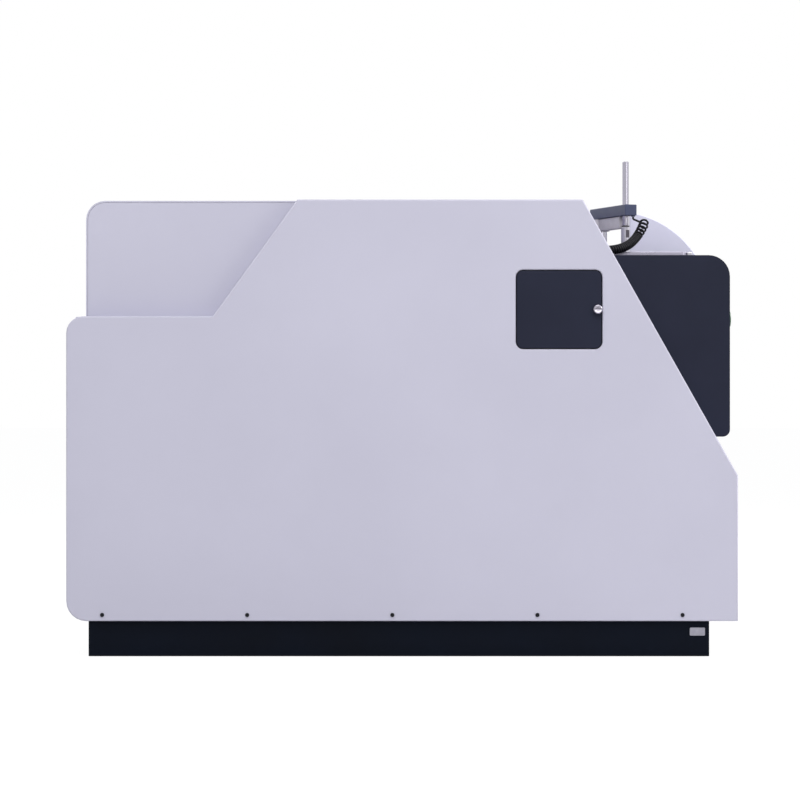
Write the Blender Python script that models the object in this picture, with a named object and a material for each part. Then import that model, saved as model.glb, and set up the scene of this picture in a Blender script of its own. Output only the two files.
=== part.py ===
"""Spark optical emission spectrometer, bench model, in metres.

+X is the front, where the sample is clamped on the spark stand. -Y is the left side,
with the service door. +Z is up. The origin is on the floor, under the middle of the casing.
"""
import math

import bmesh
import bpy
from mathutils import Matrix, Vector
from mathutils.geometry import interpolate_bezier

for old in list(bpy.data.objects):
    bpy.data.objects.remove(old, do_unlink=True)

# Casing: the driving sizes, read along the left side panel from its rear edge
casing_length = 0.840
casing_width = 0.560
casing_top = 0.572
ledge_height = 0.426
ledge_length = 0.183
rear_slope_run = 0.106
front_slope_run = 0.194
front_slope_foot = 0.227
rear_bottom_radius = 0.025
rear_top_radius = 0.021
side_panel_depth = 0.028
sheet = 0.002
fold_radius = 0.003
gap = 0.0003
overrun = 0.002

# Core between the side panels
core_rear_inset = 0.008
core_front_inset = 0.008
hood_rear_inset = 0.022
hood_radius = 0.024

# Plinth and floor
plinth_height = 0.0444
plinth_rear_inset = 0.027
plinth_front_inset = 0.035
plinth_side_inset = 0.010
plinth_rail_width = 0.025
plinth_wall = 0.0025
centre_rail_width = 0.060
floor_thickness = 0.004
label_width = 0.019
label_height = 0.010
label_thickness = 0.0012
label_from_front = 0.050
label_centre_height = 0.031

# Screws along the bottom of each side panel
panel_screw_first = 0.045
panel_screw_last = 0.0694
panel_screw_count = 5
panel_screw_rise = 0.0078
panel_screw_head_radius = 0.0026
panel_screw_head_height = 0.0016
panel_screw_shank_radius = 0.0016
panel_screw_length = 0.012
panel_rail_height = 0.012
panel_rail_end_inset = 0.030

# Nose housing
nose_front_inset = 0.007
deck_drop = 0.0683
nose_bottom = 0.275
nose_back_drop = 0.0237
nose_top_radius = 0.027
nose_bottom_radius = 0.009
nose_sheet = 0.003

# Quarter-round cheek on the deck
cheek_from_left = 0.240
cheek_thickness = 0.016
cheek_radius = 0.1283
cheek_centre_back = 0.0056
cheek_centre_drop = 0.0601
cheek_rear_ahead = 0.0145

# Spark stand
stand_from_front = 0.1310
stand_from_left = 0.1268
plate_thickness = 0.0066
plate_rear = 0.043
plate_front = 0.075
plate_near = 0.047
plate_far = 0.063
plate_corner_radius = 0.006
aperture_radius = 0.006
stand_width = 0.080
stand_depth = 0.083
stand_height = 0.064
chamber_radius = 0.015
chamber_depth = 0.034
electrode_radius = 0.003
electrode_point = 0.004
electrode_length = 0.078
spark_gap = 0.0043
insulator_radius = 0.010
insulator_flange_radius = 0.014
insulator_flange = 0.005
light_bore_radius = 0.008
light_axis_drop = 0.017
light_tube_wall = 0.0025

# Sample clamp
column_radius = 0.010
column_spigot_radius = 0.006
column_flange_border = 0.003
column_flange_height = 0.003
arm_reach = 0.102
arm_turn = math.radians(-70.55)
arm_rod_reach = 0.085
arm_block_width = 0.0165
arm_block_height = 0.0140
arm_block_base = 0.0553
arm_block_tail = 0.013
arm_body_width = 0.012
arm_body_height = 0.0150
arm_boss_radius = 0.0135
arm_bore_clearance = 0.0004
rod_radius = 0.00415
rod_length = 0.082
rod_chamfer = 0.0008
ring_radius = 0.0048
ring_height = 0.0024
foot_radius = 0.0058
foot_height = 0.0336
foot_clearance = 0.0008
foot_slot_width = 0.0045
foot_slot_height = 0.010
foot_slot_depth = 0.0025
foot_slot_rise = 0.020
anchor_radius = 0.0026
anchor_height = 0.0015
anchor_reach = 0.0980
anchor_side = 0.0050

# Curly cord from the arm to its plug
cord_radius = 0.0013
cord_coil_radius = 0.0048
cord_loop_radius = 0.0056
cord_tight_pitch = 0.0035
cord_open_pitch = 0.0066
cord_open_run = 0.028
cord_points_per_curl = 9
cord_lead_turns = 0.30
cord_start_turn = 5.6
cord_start_reach = 0.0280
# Places on the cord from the spark's place on the deck, as shares of the arm's height
cord_handle_share = (0.1537, -0.9277, 0.2586)
cord_loop_share = (0.4376, -0.2857, 0.8734)
cord_lead_shares = ((0.3219, -0.2532, 0.8011), (0.2387, -0.2315, 0.8734))
plug_radius = 0.0058
plug_length = 0.020
plug_nose_radius = 0.0035
plug_nose_length = 0.004
socket_radius = 0.0068
socket_length = 0.006
socket_from_left = 0.048
socket_rise = 0.0069

# Service door in the left panel
door_from_front = 0.2237
door_from_top = 0.1376
door_opening_width = 0.108
door_opening_height = 0.099
door_corner_radius = 0.0088
door_gap = 0.0010
door_thickness = 0.006
door_pivot_inset = 0.010
door_pivot_back = 0.0018
door_pin_radius = 0.0008
door_pin_bite = 0.004
door_pin_seat = 0.004
door_frame_border = 0.009
door_frame_depth = 0.0095
knob_edge_inset = 0.0048
knob_radius = 0.0057
knob_height = 0.0080
knob_stem_radius = 0.0022
latch_width = 0.0050
latch_thickness = 0.0024
latch_length = 0.0100
latch_pocket_clearance = 0.0012
service_box_wall = 0.0016
service_box_depth = 0.050
filter_radius = 0.034
filter_length = 0.038
filter_grip_length = 0.030
filter_grip_width = 0.006
filter_grip_height = 0.006

# Start and stop buttons on the nose front
button_radius = 0.0110
button_travel = 0.003
button_proud = 0.0055
button_bezel_radius = 0.0145
button_plate_thickness = 0.0030
button_corner_radius = 0.006
button_depth = 0.020
button_spacing = 0.046
button_drop = 0.0787
buttons_from_left = 0.127
button_guide_wall = 0.0025

# Rear of the casing
fan_from_right = 0.160
rear_fan_z = 0.235
fan_size = 0.119
fan_depth = 0.025
fan_duct_radius = 0.0565
fan_hub_radius = 0.021
fan_blade_count = 7
fan_blade_radius = 0.0545
fan_blade_chord = 0.034
fan_blade_thickness = 0.0016
fan_root_pitch = math.radians(48.0)
fan_tip_pitch = math.radians(24.0)
fan_corner_radius = 0.008
fan_strut_width = 0.005
fan_strut_depth = 0.005
grille_size = 0.132
grille_thickness = 0.0015
grille_slot_width = 0.0055
grille_slot_pitch = 0.0090
grille_slot_radius = 0.054
inlet_from_left = 0.115
inlet_z = 0.115
inlet_width = 0.048
inlet_height = 0.058
inlet_depth = 0.030
inlet_flange = 0.004
inlet_flange_thickness = 0.003
inlet_socket_width = 0.026
inlet_socket_height = 0.0165
inlet_socket_depth = 0.018
inlet_split = 0.013
rocker_width = 0.021
rocker_height = 0.0135
rocker_radius = 0.0095
rocker_clearance = 0.0006
rocker_throw = math.radians(16.0)
port_from_left = 0.115
port_z = 0.180
port_width = 0.046
port_height = 0.022
port_flange_thickness = 0.0020
port_depth = 0.020
port_socket_width = 0.0125
port_socket_height = 0.0115
port_socket_depth = 0.012
port_socket_spacing = 0.020
gas_from_left = 0.220
gas_spacing = 0.045
gas_radius = 0.0085
gas_bore_radius = 0.004
gas_proud = 0.016
gas_hex_radius = 0.0105
gas_hex_height = 0.005
gas_tail = 0.020

# Frame and shelf inside
post_leg = 0.025
post_wall = 0.003
rear_post_inset = 0.030
front_post_inset = 0.312
shelf_drop = 0.0747
shelf_thickness = 0.003
shelf_front_inset = 0.220
chamber_foot_radius = 0.012
chamber_foot_height = 0.012
foot_inset = 0.035

# Optical chamber, its slit, grating and detectors
chamber_rear_inset = 0.062
chamber_front_inset = 0.230
chamber_side_inset = 0.047
chamber_height = 0.100
chamber_wall = 0.008
lid_thickness = 0.006
lid_border = 0.004
rowland_width_share = 1.09756
rowland_length_share = 0.41667
grating_inset = 0.050
grating_size = 0.050
grating_thickness = 0.012
grating_hollow = 0.0035
grating_mount_depth = 0.016
grating_mount_height = 0.070
grating_mount_width = 0.070
rail_width = 0.014
rail_first_turn = math.radians(-22.0)
rail_last_turn = math.radians(46.0)
detector_count = 8
detector_fill_share = 0.8245
detector_depth = 0.008
detector_height = 0.030
slit_plate = 0.030
slit_plate_thickness = 0.004
slit_opening = 0.0030

# Electronics and gas
source_length = 0.200
source_width = 0.190
source_height = 0.150
source_from_front = 0.165
source_from_left = 0.150
fin_count = 9
fin_height = 0.012
fin_thickness = 0.003
transformer_beside = 0.0875
transformer_length = 0.090
transformer_width = 0.075
transformer_height = 0.085
transformer_core = 0.024
winding_radius = 0.008
supply_from_front = 0.440
supply_from_left = 0.130
supply_length = 0.200
supply_width = 0.110
supply_height = 0.060
boards_from_front = 0.440
boards_from_right = 0.170
board_length = 0.200
board_height = 0.150
board_thickness = 0.0016
board_pitch = 0.030
board_count = 4
board_chip = 0.022
board_chip_height = 0.006
board_rack_height = 0.010
manifold_length = 0.120
manifold_width = 0.040
manifold_height = 0.040
valve_radius = 0.012
valve_height = 0.040
valve_count = 3
hose_radius = 0.004
# Places on the argon hose as shares of the way from the manifold to the spark stand
hose_route_shares = (
    (0.0301, 0.0, 0.0),
    (0.1492, -0.1609, 0.0397),
    (0.2244, -0.4828, 0.2756),
    (0.3663, -0.5365, 0.5488),
    (0.5833, -0.4292, 0.6978),
    (0.8170, -0.1073, 0.7524),
    (1.0007, 0.4292, 0.8095),
    (1.0708, 0.8798, 0.9337),
)

smooth_angle = math.radians(35.0)

# Places that follow from the sizes above
rear_x = -casing_length / 2
front_x = casing_length / 2
left_y = -casing_width / 2
right_y = casing_width / 2
core_half = casing_width / 2 - side_panel_depth
panel_bottom = plinth_height + gap
core_rear = rear_x + core_rear_inset
core_front = front_x - core_front_inset
hood_rear = rear_x + hood_rear_inset
bay_x = front_x - front_slope_run
panel_screw_run = casing_length - panel_screw_first - panel_screw_last
panel_screw_pitch = panel_screw_run / (panel_screw_count - 1)
floor_bottom = plinth_height + gap
floor_top = floor_bottom + floor_thickness
gas_z = floor_top + gap + manifold_height / 2
wall_bottom = floor_top + gap
nose_front = front_x - nose_front_inset
nose_deck = casing_top - deck_drop
nose_back_low = nose_deck - nose_back_drop
stand_x = front_x - stand_from_front
stand_y = left_y + stand_from_left
cheek_y = left_y + cheek_from_left
cheek_centre_x = stand_x - cheek_centre_back
cheek_centre_z = nose_deck - cheek_centre_drop
cheek_rear_x = stand_x + cheek_rear_ahead
socket_y = left_y + socket_from_left
socket_z = nose_deck + socket_rise
button_height = nose_deck - button_drop
button_y = left_y + buttons_from_left
rear_fan_y = right_y - fan_from_right
inlet_y = left_y + inlet_from_left
port_y = left_y + port_from_left
gas_y = left_y + gas_from_left
light_z = nose_deck - light_axis_drop
shelf_height = light_z - shelf_drop
shelf_front_x = front_x - shelf_front_inset
front_post_x = front_x - front_post_inset
plate_bottom = nose_deck + gap
plate_top = plate_bottom + plate_thickness
shelf_top = shelf_height + shelf_thickness
column_x = stand_x - arm_rod_reach * math.cos(arm_turn)
column_y = stand_y - arm_rod_reach * math.sin(arm_turn)
arm_body_top = nose_deck + arm_block_base - gap
arm_body_bottom = arm_body_top - arm_body_height
arm_block_bottom = nose_deck + arm_block_base
arm_block_top = arm_block_bottom + arm_block_height
door_x = front_x - door_from_front
door_centre_z = casing_top - door_from_top
door_left = door_x - door_opening_width / 2
door_right = door_x + door_opening_width / 2
knob_x = door_right - door_gap - knob_edge_inset
pivot_x = door_left + door_gap + door_pivot_inset
pivot_y = left_y + door_thickness - door_pivot_back
chamber_bottom = shelf_top + gap + chamber_foot_height
chamber_top = chamber_bottom + chamber_height
chamber_rear_x = core_rear + chamber_rear_inset
chamber_front_x = front_x - chamber_front_inset
chamber_half_width = core_half - chamber_side_inset
chamber_length = chamber_front_x - chamber_rear_x
grating_x = chamber_rear_x + grating_inset
# The largest circle for slit, grating and detectors that the chamber takes
rowland_radius = min(
    chamber_half_width * rowland_width_share,
    chamber_length * rowland_length_share,
)
source_x = front_x - source_from_front
source_y = left_y + source_from_left
transformer_x = source_x
transformer_y = source_y + (source_width + transformer_width) / 2 + transformer_beside
supply_x = front_x - supply_from_front
supply_y = left_y + supply_from_left
board_x = front_x - boards_from_front
board_y = right_y - boards_from_right


def slope_x(height):
    """Place of the side panels' sloped front edge at a height."""
    share = (height - front_slope_foot) / (casing_top - front_slope_foot)
    return front_x + share * (bay_x - front_x)


# Tools for outlines and solids

def finish(name, colour, roughness, metallic):
    """A plain painted, moulded or metal surface."""
    material = bpy.data.materials.get(name)
    if material is None:
        material = bpy.data.materials.new(name)
        material.use_nodes = True
        shader = material.node_tree.nodes["Principled BSDF"]
        shader.inputs["Base Color"].default_value = (*colour, 1.0)
        shader.inputs["Roughness"].default_value = roughness
        shader.inputs["Metallic"].default_value = metallic
        material.diffuse_color = (*colour, 1.0)
    return material


def pale_paint():
    return finish("pale_paint", (0.58, 0.58, 0.68), 0.45, 0.0)


def dark_paint():
    return finish("dark_paint", (0.028, 0.031, 0.048), 0.5, 0.0)


def plinth_paint():
    return finish("plinth_paint", (0.010, 0.011, 0.016), 0.55, 0.0)


def steel():
    return finish("steel", (0.62, 0.60, 0.64), 0.28, 1.0)


def zinc():
    return finish("zinc_plate", (0.55, 0.56, 0.58), 0.4, 1.0)


def aluminium():
    return finish("aluminium", (0.70, 0.70, 0.72), 0.35, 1.0)


def black_plastic():
    return finish("black_plastic", (0.02, 0.02, 0.024), 0.45, 0.0)


def rubber():
    return finish("rubber", (0.015, 0.015, 0.017), 0.7, 0.0)


def round_corner(before, corner, after, radius, steps):
    """Points of the arc that replaces a corner, from one straight to the next."""
    here = Vector(corner)
    back = (Vector(before) - here).normalized()
    ahead = (Vector(after) - here).normalized()
    half = back.angle(ahead) / 2
    reach = radius / math.tan(half)
    start = here + back * reach
    centre = here + (back + ahead).normalized() * (radius / math.sin(half))
    first = start - centre
    sweep = first.angle_signed(here + ahead * reach - centre)
    points = []
    for step in range(steps + 1):
        turn = Matrix.Rotation(-sweep * step / steps, 2)
        points.append(tuple(centre + turn @ first))
    return points


def rounded(corners, closed=True, steps=6):
    """An outline from corners of (across, up, radius)."""
    points = []
    count = len(corners)
    for index, (across, up, radius) in enumerate(corners):
        at_end = not closed and index in (0, count - 1)
        if radius > 0 and not at_end:
            before = corners[index - 1][:2]
            after = corners[(index + 1) % count][:2]
            points += round_corner(before, (across, up), after, radius, steps)
        else:
            points.append((across, up))
    return points


def offset_corners(corners, distance, closed=True):
    """The same corners moved to the left of the way they run by a distance."""
    count = len(corners)
    moved = []
    for index, (across, up, radius) in enumerate(corners):
        here = Vector((across, up))
        before = Vector(corners[index - 1][:2])
        after = Vector(corners[(index + 1) % count][:2])
        way_in = (here - before).normalized()
        way_out = (after - here).normalized()
        if not closed and index == 0:
            way_in = way_out
        if not closed and index == count - 1:
            way_out = way_in
        normal_in = Vector((-way_in.y, way_in.x))
        normal_out = Vector((-way_out.y, way_out.x))
        mitre = (normal_in + normal_out).normalized()
        here = here + mitre * (distance / mitre.dot(normal_in))
        turns_left = way_in.cross(way_out) > 0
        new_radius = radius - distance if turns_left else radius + distance
        new_radius = max(new_radius, 0) if radius > 0 else 0
        moved.append((here.x, here.y, new_radius))
    return moved


def sheet_outline(corners, thickness):
    """A folded sheet's edge-on outline: its outer line and the same line inside."""
    inner = offset_corners(corners, thickness, closed=False)
    return rounded(corners, closed=False) + list(reversed(rounded(inner, closed=False)))


def box_corners(low_across, low_up, high_across, high_up, radius):
    """Four corners of a rectangle, anticlockwise."""
    return [
        (low_across, low_up, radius),
        (high_across, low_up, radius),
        (high_across, high_up, radius),
        (low_across, high_up, radius),
    ]


def place(axis, across, up, along):
    """World point of an outline's point on the plane square to an axis."""
    if axis == "X":
        return (along, across, up)
    if axis == "Y":
        return (across, along, up)
    return (across, up, along)


def add_object(name, mesh, material, smooth=False):
    thing = bpy.data.objects.new(name, mesh)
    bpy.context.scene.collection.objects.link(thing)
    if material is not None:
        mesh.materials.append(material)
    if smooth:
        mesh.shade_smooth()
        mesh.set_sharp_from_angle(angle=smooth_angle)
    return thing


def mesh_from(shape, name):
    bmesh.ops.recalc_face_normals(shape, faces=shape.faces)
    mesh = bpy.data.meshes.new(name)
    shape.to_mesh(mesh)
    shape.free()
    return mesh


def grow_prism(shape, points, low, high, axis):
    """Adds one outline extruded from low to high along an axis."""
    verts = [shape.verts.new(place(axis, across, up, low)) for across, up in points]
    face = shape.faces.new(verts)
    grown = bmesh.ops.extrude_face_region(shape, geom=[face])
    top = [item for item in grown["geom"] if isinstance(item, bmesh.types.BMVert)]
    shift = Vector(place(axis, 0, 0, high - low))
    bmesh.ops.translate(shape, verts=top, vec=shift)


def prism(name, points, low, high, axis, material, smooth=False):
    shape = bmesh.new()
    grow_prism(shape, points, low, high, axis)
    return add_object(name, mesh_from(shape, name), material, smooth)


def grow_block(shape, low, high):
    points = [(low[0], low[1]), (high[0], low[1]), (high[0], high[1]), (low[0], high[1])]
    grow_prism(shape, points, low[2], high[2], "Z")


def block(name, low, high, material):
    shape = bmesh.new()
    grow_block(shape, low, high)
    return add_object(name, mesh_from(shape, name), material)


def grow_turned(shape, profile, base, direction, steps):
    """Adds a solid of revolution: profile points are (radius, height above base)."""
    fresh = bmesh.new()
    verts = [fresh.verts.new((radius, 0, height)) for radius, height in profile]
    for first, second in zip(verts, verts[1:]):
        fresh.edges.new((first, second))
    bored = min(radius for radius, height in profile) > 0
    if bored:
        fresh.edges.new((verts[-1], verts[0]))
    bmesh.ops.spin(
        fresh,
        geom=fresh.verts[:] + fresh.edges[:],
        axis=(0, 0, 1),
        cent=(0, 0, 0),
        angle=2 * math.pi,
        steps=steps,
    )
    bmesh.ops.remove_doubles(fresh, verts=fresh.verts, dist=gap / 100)
    bmesh.ops.recalc_face_normals(fresh, faces=fresh.faces)
    turn = Vector((0, 0, 1)).rotation_difference(Vector(direction)).to_matrix().to_4x4()
    bmesh.ops.transform(fresh, matrix=Matrix.Translation(base) @ turn, verts=fresh.verts)
    part = bpy.data.meshes.new("turned_piece")
    fresh.to_mesh(part)
    fresh.free()
    shape.from_mesh(part)
    bpy.data.meshes.remove(part)


def turned(name, profile, base, direction, steps, material):
    shape = bmesh.new()
    grow_turned(shape, profile, base, direction, steps)
    return add_object(name, mesh_from(shape, name), material, smooth=True)


def rod_profile(radius, length, chamfer=0):
    """Profile of a plain round bar, with its far end chamfered where asked."""
    if chamfer > 0:
        return [(0, 0), (radius, 0), (radius, length - chamfer), (radius - chamfer, length), (0, length)]
    return [(0, 0), (radius, 0), (radius, length), (0, length)]


def tool_from(shape, name):
    """A cutter or an added piece, kept out of the model."""
    tool = add_object(name, mesh_from(shape, name), None)
    tool.hide_render = True
    tool.display_type = "WIRE"
    return tool


def combine(target, tool, operation):
    modifier = target.modifiers.new(tool.name, "BOOLEAN")
    modifier.operation = operation
    modifier.solver = "EXACT"
    modifier.object = tool


def cut(target, tool):
    combine(target, tool, "DIFFERENCE")


def join(target, tool):
    combine(target, tool, "UNION")


def cut_bore(target, name, base, direction, radius, length, steps=20):
    """A round hole that starts and ends one overrun past the stated stretch."""
    way = Vector(direction).normalized()
    shape = bmesh.new()
    start = Vector(base) - way * overrun
    grow_turned(shape, rod_profile(radius, length + 2 * overrun), start, way, steps)
    cut(target, tool_from(shape, name))


# Side panels: folded pans with a stepped rear and a sloped front

def side_corners():
    ledge_x = rear_x + ledge_length
    return [
        (rear_x, panel_bottom, rear_bottom_radius),
        (front_x, panel_bottom, 0),
        (front_x, front_slope_foot, 0),
        (bay_x, casing_top, 0),
        (ledge_x + rear_slope_run, casing_top, 0),
        (ledge_x, ledge_height, 0),
        (rear_x, ledge_height, rear_top_radius),
    ]


def panel_screw_places():
    first = rear_x + panel_screw_first
    return [first + panel_screw_pitch * index for index in range(panel_screw_count)]


def screw_holes(name, side):
    """Holes through the panel's skin and into the rail behind it."""
    shape = bmesh.new()
    outer = side * casing_width / 2
    for place_x in panel_screw_places():
        base = (place_x, outer + side * overrun, panel_bottom + panel_screw_rise)
        length = panel_screw_length + gap + overrun
        grow_turned(shape, rod_profile(panel_screw_shank_radius + gap, length), base, (0, -side, 0), 12)
    return tool_from(shape, name)


def side_panel(name, side):
    outer = side * casing_width / 2
    open_side = side * (core_half + gap)
    skin = side * (casing_width / 2 - sheet)
    low, high = sorted((outer, open_side))
    panel = prism(name, rounded(side_corners()), low, high, "Y", pale_paint())
    hollow = bmesh.new()
    inner = rounded(offset_corners(side_corners(), sheet))
    low, high = sorted((skin, open_side - side * overrun))
    grow_prism(hollow, inner, low, high, "Y")
    cut(panel, tool_from(hollow, name + "_hollow"))
    cut(panel, screw_holes(name + "_screw_holes", side))
    return panel


def panel_rail(name, side):
    """Rail inside a side panel's foot, with the five screws that hold the panel."""
    low_z = panel_bottom + sheet + gap
    low_y, high_y = sorted((side * (core_half + gap), side * (casing_width / 2 - sheet - gap)))
    low = (rear_x + panel_rail_end_inset, low_y, low_z)
    high = (front_x - panel_rail_end_inset, high_y, low_z + panel_rail_height)
    dark = finish("screw_black", (0.02, 0.02, 0.025), 0.4, 0.6)
    rail = block(name, low, high, dark)
    screws = bmesh.new()
    height = panel_screw_head_height
    head = panel_screw_head_radius
    shank = panel_screw_shank_radius
    profile = [
        (0, 0),
        (head - height / 2, 0),
        (head, height / 2),
        (head, height),
        (shank, height),
        (shank, height + panel_screw_length),
        (0, height + panel_screw_length),
    ]
    outer = side * (casing_width / 2 + height + gap)
    for place_x in panel_screw_places():
        base = (place_x, outer, panel_bottom + panel_screw_rise)
        grow_turned(screws, profile, base, (0, -side, 0), 12)
    join(rail, tool_from(screws, name + "_screws"))


# Core: inner walls, covers and panels that wrap it

def core_corners():
    return [
        (core_rear, wall_bottom, 0),
        (core_front, wall_bottom, 0),
        (core_front, front_slope_foot, 0),
        (slope_x(nose_bottom) - core_front_inset, nose_bottom, 0),
        (bay_x, nose_back_low, 0),
        (bay_x, casing_top, 0),
        (hood_rear, casing_top, hood_radius),
        (hood_rear, ledge_height, 0),
        (core_rear, ledge_height, 0),
    ]


def inner_wall(name, side):
    corners = offset_corners(core_corners(), sheet + gap)
    corners[0] = (corners[0][0], wall_bottom, 0)
    corners[1] = (corners[1][0], wall_bottom, 0)
    low, high = sorted((side * core_half, side * (core_half - sheet)))
    return prism(name, rounded(corners), low, high, "Y", pale_paint())


def top_cover():
    corners = [
        (bay_x, nose_back_low + gap, 0),
        (bay_x, casing_top, fold_radius),
        (hood_rear, casing_top, hood_radius),
        (hood_rear, ledge_height + gap, 0),
    ]
    cover = prism("top_cover", sheet_outline(corners, sheet), -core_half, core_half, "Y", pale_paint())
    base = (bay_x - sheet, socket_y, socket_z)
    cut_bore(cover, "cord_socket_hole", base, (1, 0, 0), plug_nose_radius + 3 * gap, sheet)
    base = (bay_x - sheet, stand_y, light_z)
    radius = light_bore_radius + light_tube_wall + 3 * gap
    cut_bore(cover, "light_tube_hole", base, (1, 0, 0), radius, sheet, 24)
    cut(cover, door_opening_tool("cover_service_opening", service_box_wall + gap))


def rear_panel():
    corners = [
        (hood_rear, ledge_height, 0),
        (core_rear, ledge_height, fold_radius),
        (core_rear, wall_bottom, 0),
    ]
    panel = prism("rear_panel", sheet_outline(corners, sheet), -core_half, core_half, "Y", pale_paint())
    base = (core_rear, rear_fan_y, rear_fan_z)
    cut_bore(panel, "fan_cut_out", base, (1, 0, 0), fan_duct_radius, sheet, 32)
    holes = bmesh.new()
    for centre_y, centre_z, width, height in (
        (inlet_y, inlet_z, inlet_width, inlet_height),
        (port_y, port_z, port_width, port_height),
    ):
        low = (core_rear - overrun, centre_y - width / 2 - gap, centre_z - height / 2 - gap)
        high = (core_rear + sheet + overrun, centre_y + width / 2 + gap, centre_z + height / 2 + gap)
        grow_block(holes, low, high)
    for centre_y in (gas_y, gas_y + gas_spacing):
        base = (core_rear - overrun, centre_y, gas_z)
        grow_turned(holes, rod_profile(gas_radius + gap, sheet + 2 * overrun), base, (1, 0, 0), 20)
    cut(panel, tool_from(holes, "rear_fitting_holes"))


def front_lower_panel():
    corners = [
        (core_front, wall_bottom, 0),
        (core_front, front_slope_foot, fold_radius),
        (slope_x(nose_bottom) - core_front_inset, nose_bottom - gap, 0),
    ]
    outline = sheet_outline(corners, sheet)
    prism("front_lower_panel", outline, -core_half, core_half, "Y", pale_paint())


# Plinth and floor

def plinth():
    """One welded frame of open troughs, with a channel across the middle on the bench."""
    rear = rear_x + plinth_rear_inset
    front = front_x - plinth_front_inset
    outer = casing_width / 2 - plinth_side_inset
    inner = outer - plinth_rail_width
    wall = plinth_wall
    frame = block("plinth", (rear, -outer, 0), (front, outer, plinth_height), plinth_paint())
    half = centre_rail_width / 2
    bays = bmesh.new()
    for low_x, high_x in ((rear + plinth_rail_width, -half), (half, front - plinth_rail_width)):
        grow_block(bays, (low_x, -inner, -overrun), (high_x, inner, plinth_height + overrun))
    cut(frame, tool_from(bays, "plinth_bays"))
    hollows = bmesh.new()
    roof = plinth_height - wall
    for side in (-1, 1):
        low_y, high_y = sorted((side * (outer - wall), side * (inner + wall)))
        grow_block(hollows, (rear + wall, low_y, -overrun), (front - wall, high_y, roof))
    for low_x in (rear, front - plinth_rail_width):
        high_x = low_x + plinth_rail_width
        grow_block(hollows, (low_x + wall, -inner, -overrun), (high_x - wall, inner, roof))
    low = (-half + wall, -inner, wall)
    grow_block(hollows, low, (half - wall, inner, plinth_height + overrun))
    cut(frame, tool_from(hollows, "plinth_hollows"))


def floor_plate():
    low = (core_rear, -core_half, floor_bottom)
    block("floor_plate", low, (core_front, core_half, floor_top), zinc())


def label_plate():
    """Small blank rating plate on the plinth."""
    centre_x = front_x - label_from_front
    outer = left_y + plinth_side_inset - gap
    half = label_width / 2
    rise = label_height / 2
    corners = box_corners(
        centre_x - half,
        label_centre_height - rise,
        centre_x + half,
        label_centre_height + rise,
        label_thickness,
    )
    pale = finish("label_foil", (0.36, 0.35, 0.42), 0.4, 0.3)
    points = rounded(corners, steps=3)
    prism("label_plate", points, outer - label_thickness, outer, "Y", pale)


# Nose housing with its deck, and the cheek that stands on it

def nose_corners():
    return [
        (bay_x + gap, nose_back_low, 0),
        (slope_x(nose_bottom) - core_front_inset + gap, nose_bottom, 0),
        (nose_front, nose_bottom, nose_bottom_radius),
        (nose_front, nose_deck, nose_top_radius),
        (bay_x + gap, nose_deck, 0),
    ]


def nose_housing():
    """The dark housing in front of the core, with its deck for the spark stand."""
    nose = prism("nose_housing", rounded(nose_corners(), steps=8), -core_half, core_half, "Y", dark_paint(), True)
    inner = offset_corners(nose_corners(), nose_sheet)
    back_low = (bay_x - overrun, nose_back_low - nose_sheet, 0)
    foot = (slope_x(nose_bottom) - core_front_inset - overrun, nose_bottom + nose_sheet, 0)
    inner[0] = back_low
    inner[1] = foot
    inner[4] = (bay_x - overrun, inner[4][1], 0)
    hollow = bmesh.new()
    reach = core_half - nose_sheet
    grow_prism(hollow, rounded(inner, steps=8), -reach, reach, "Y")
    cut(nose, tool_from(hollow, "nose_hollow"))
    low_x = stand_x - stand_width / 2 - gap
    high_x = stand_x + stand_width / 2 + gap
    low_y = stand_y - stand_depth / 2 - gap
    high_y = stand_y + stand_depth / 2 + gap
    opening = bmesh.new()
    low = (low_x, low_y, nose_deck - nose_sheet - overrun)
    grow_block(opening, low, (high_x, high_y, nose_deck + overrun))
    cut(nose, tool_from(opening, "stand_cut_out"))
    holes = bmesh.new()
    for centre_y in button_places():
        base = (nose_front - nose_sheet - overrun, centre_y, button_height)
        radius = button_radius + 2 * gap + button_guide_wall
        grow_turned(holes, rod_profile(radius, nose_sheet + 2 * overrun), base, (1, 0, 0), 24)
    cut(nose, tool_from(holes, "button_holes"))
    cut(nose, door_opening_tool("nose_service_opening", service_box_wall + gap))


def stand_cheek():
    """The quarter-round cheek: a thick disc segment with a thin rim bevel."""
    foot = nose_deck + gap
    rise = foot - cheek_centre_z
    start = math.asin(rise / cheek_radius)
    end = math.acos((cheek_rear_x - cheek_centre_x) / cheek_radius)
    steps = 20
    points = [(cheek_rear_x, foot)]
    for step in range(steps + 1):
        angle = start + (end - start) * step / steps
        across = cheek_centre_x + cheek_radius * math.cos(angle)
        up = cheek_centre_z + cheek_radius * math.sin(angle)
        points.append((across, up))
    prism("stand_cheek", points, cheek_y, cheek_y + cheek_thickness, "Y", pale_paint())


# Spark stand

def plate_corners():
    return box_corners(
        stand_x - plate_rear,
        stand_y - plate_near,
        stand_x + plate_front,
        stand_y + plate_far,
        plate_corner_radius,
    )


def spark_plate():
    plate = prism("spark_plate", rounded(plate_corners(), steps=4), plate_bottom, plate_top, "Z", steel())
    cut_bore(plate, "spark_aperture", (stand_x, stand_y, plate_bottom), (0, 0, 1), aperture_radius, plate_thickness)


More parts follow.
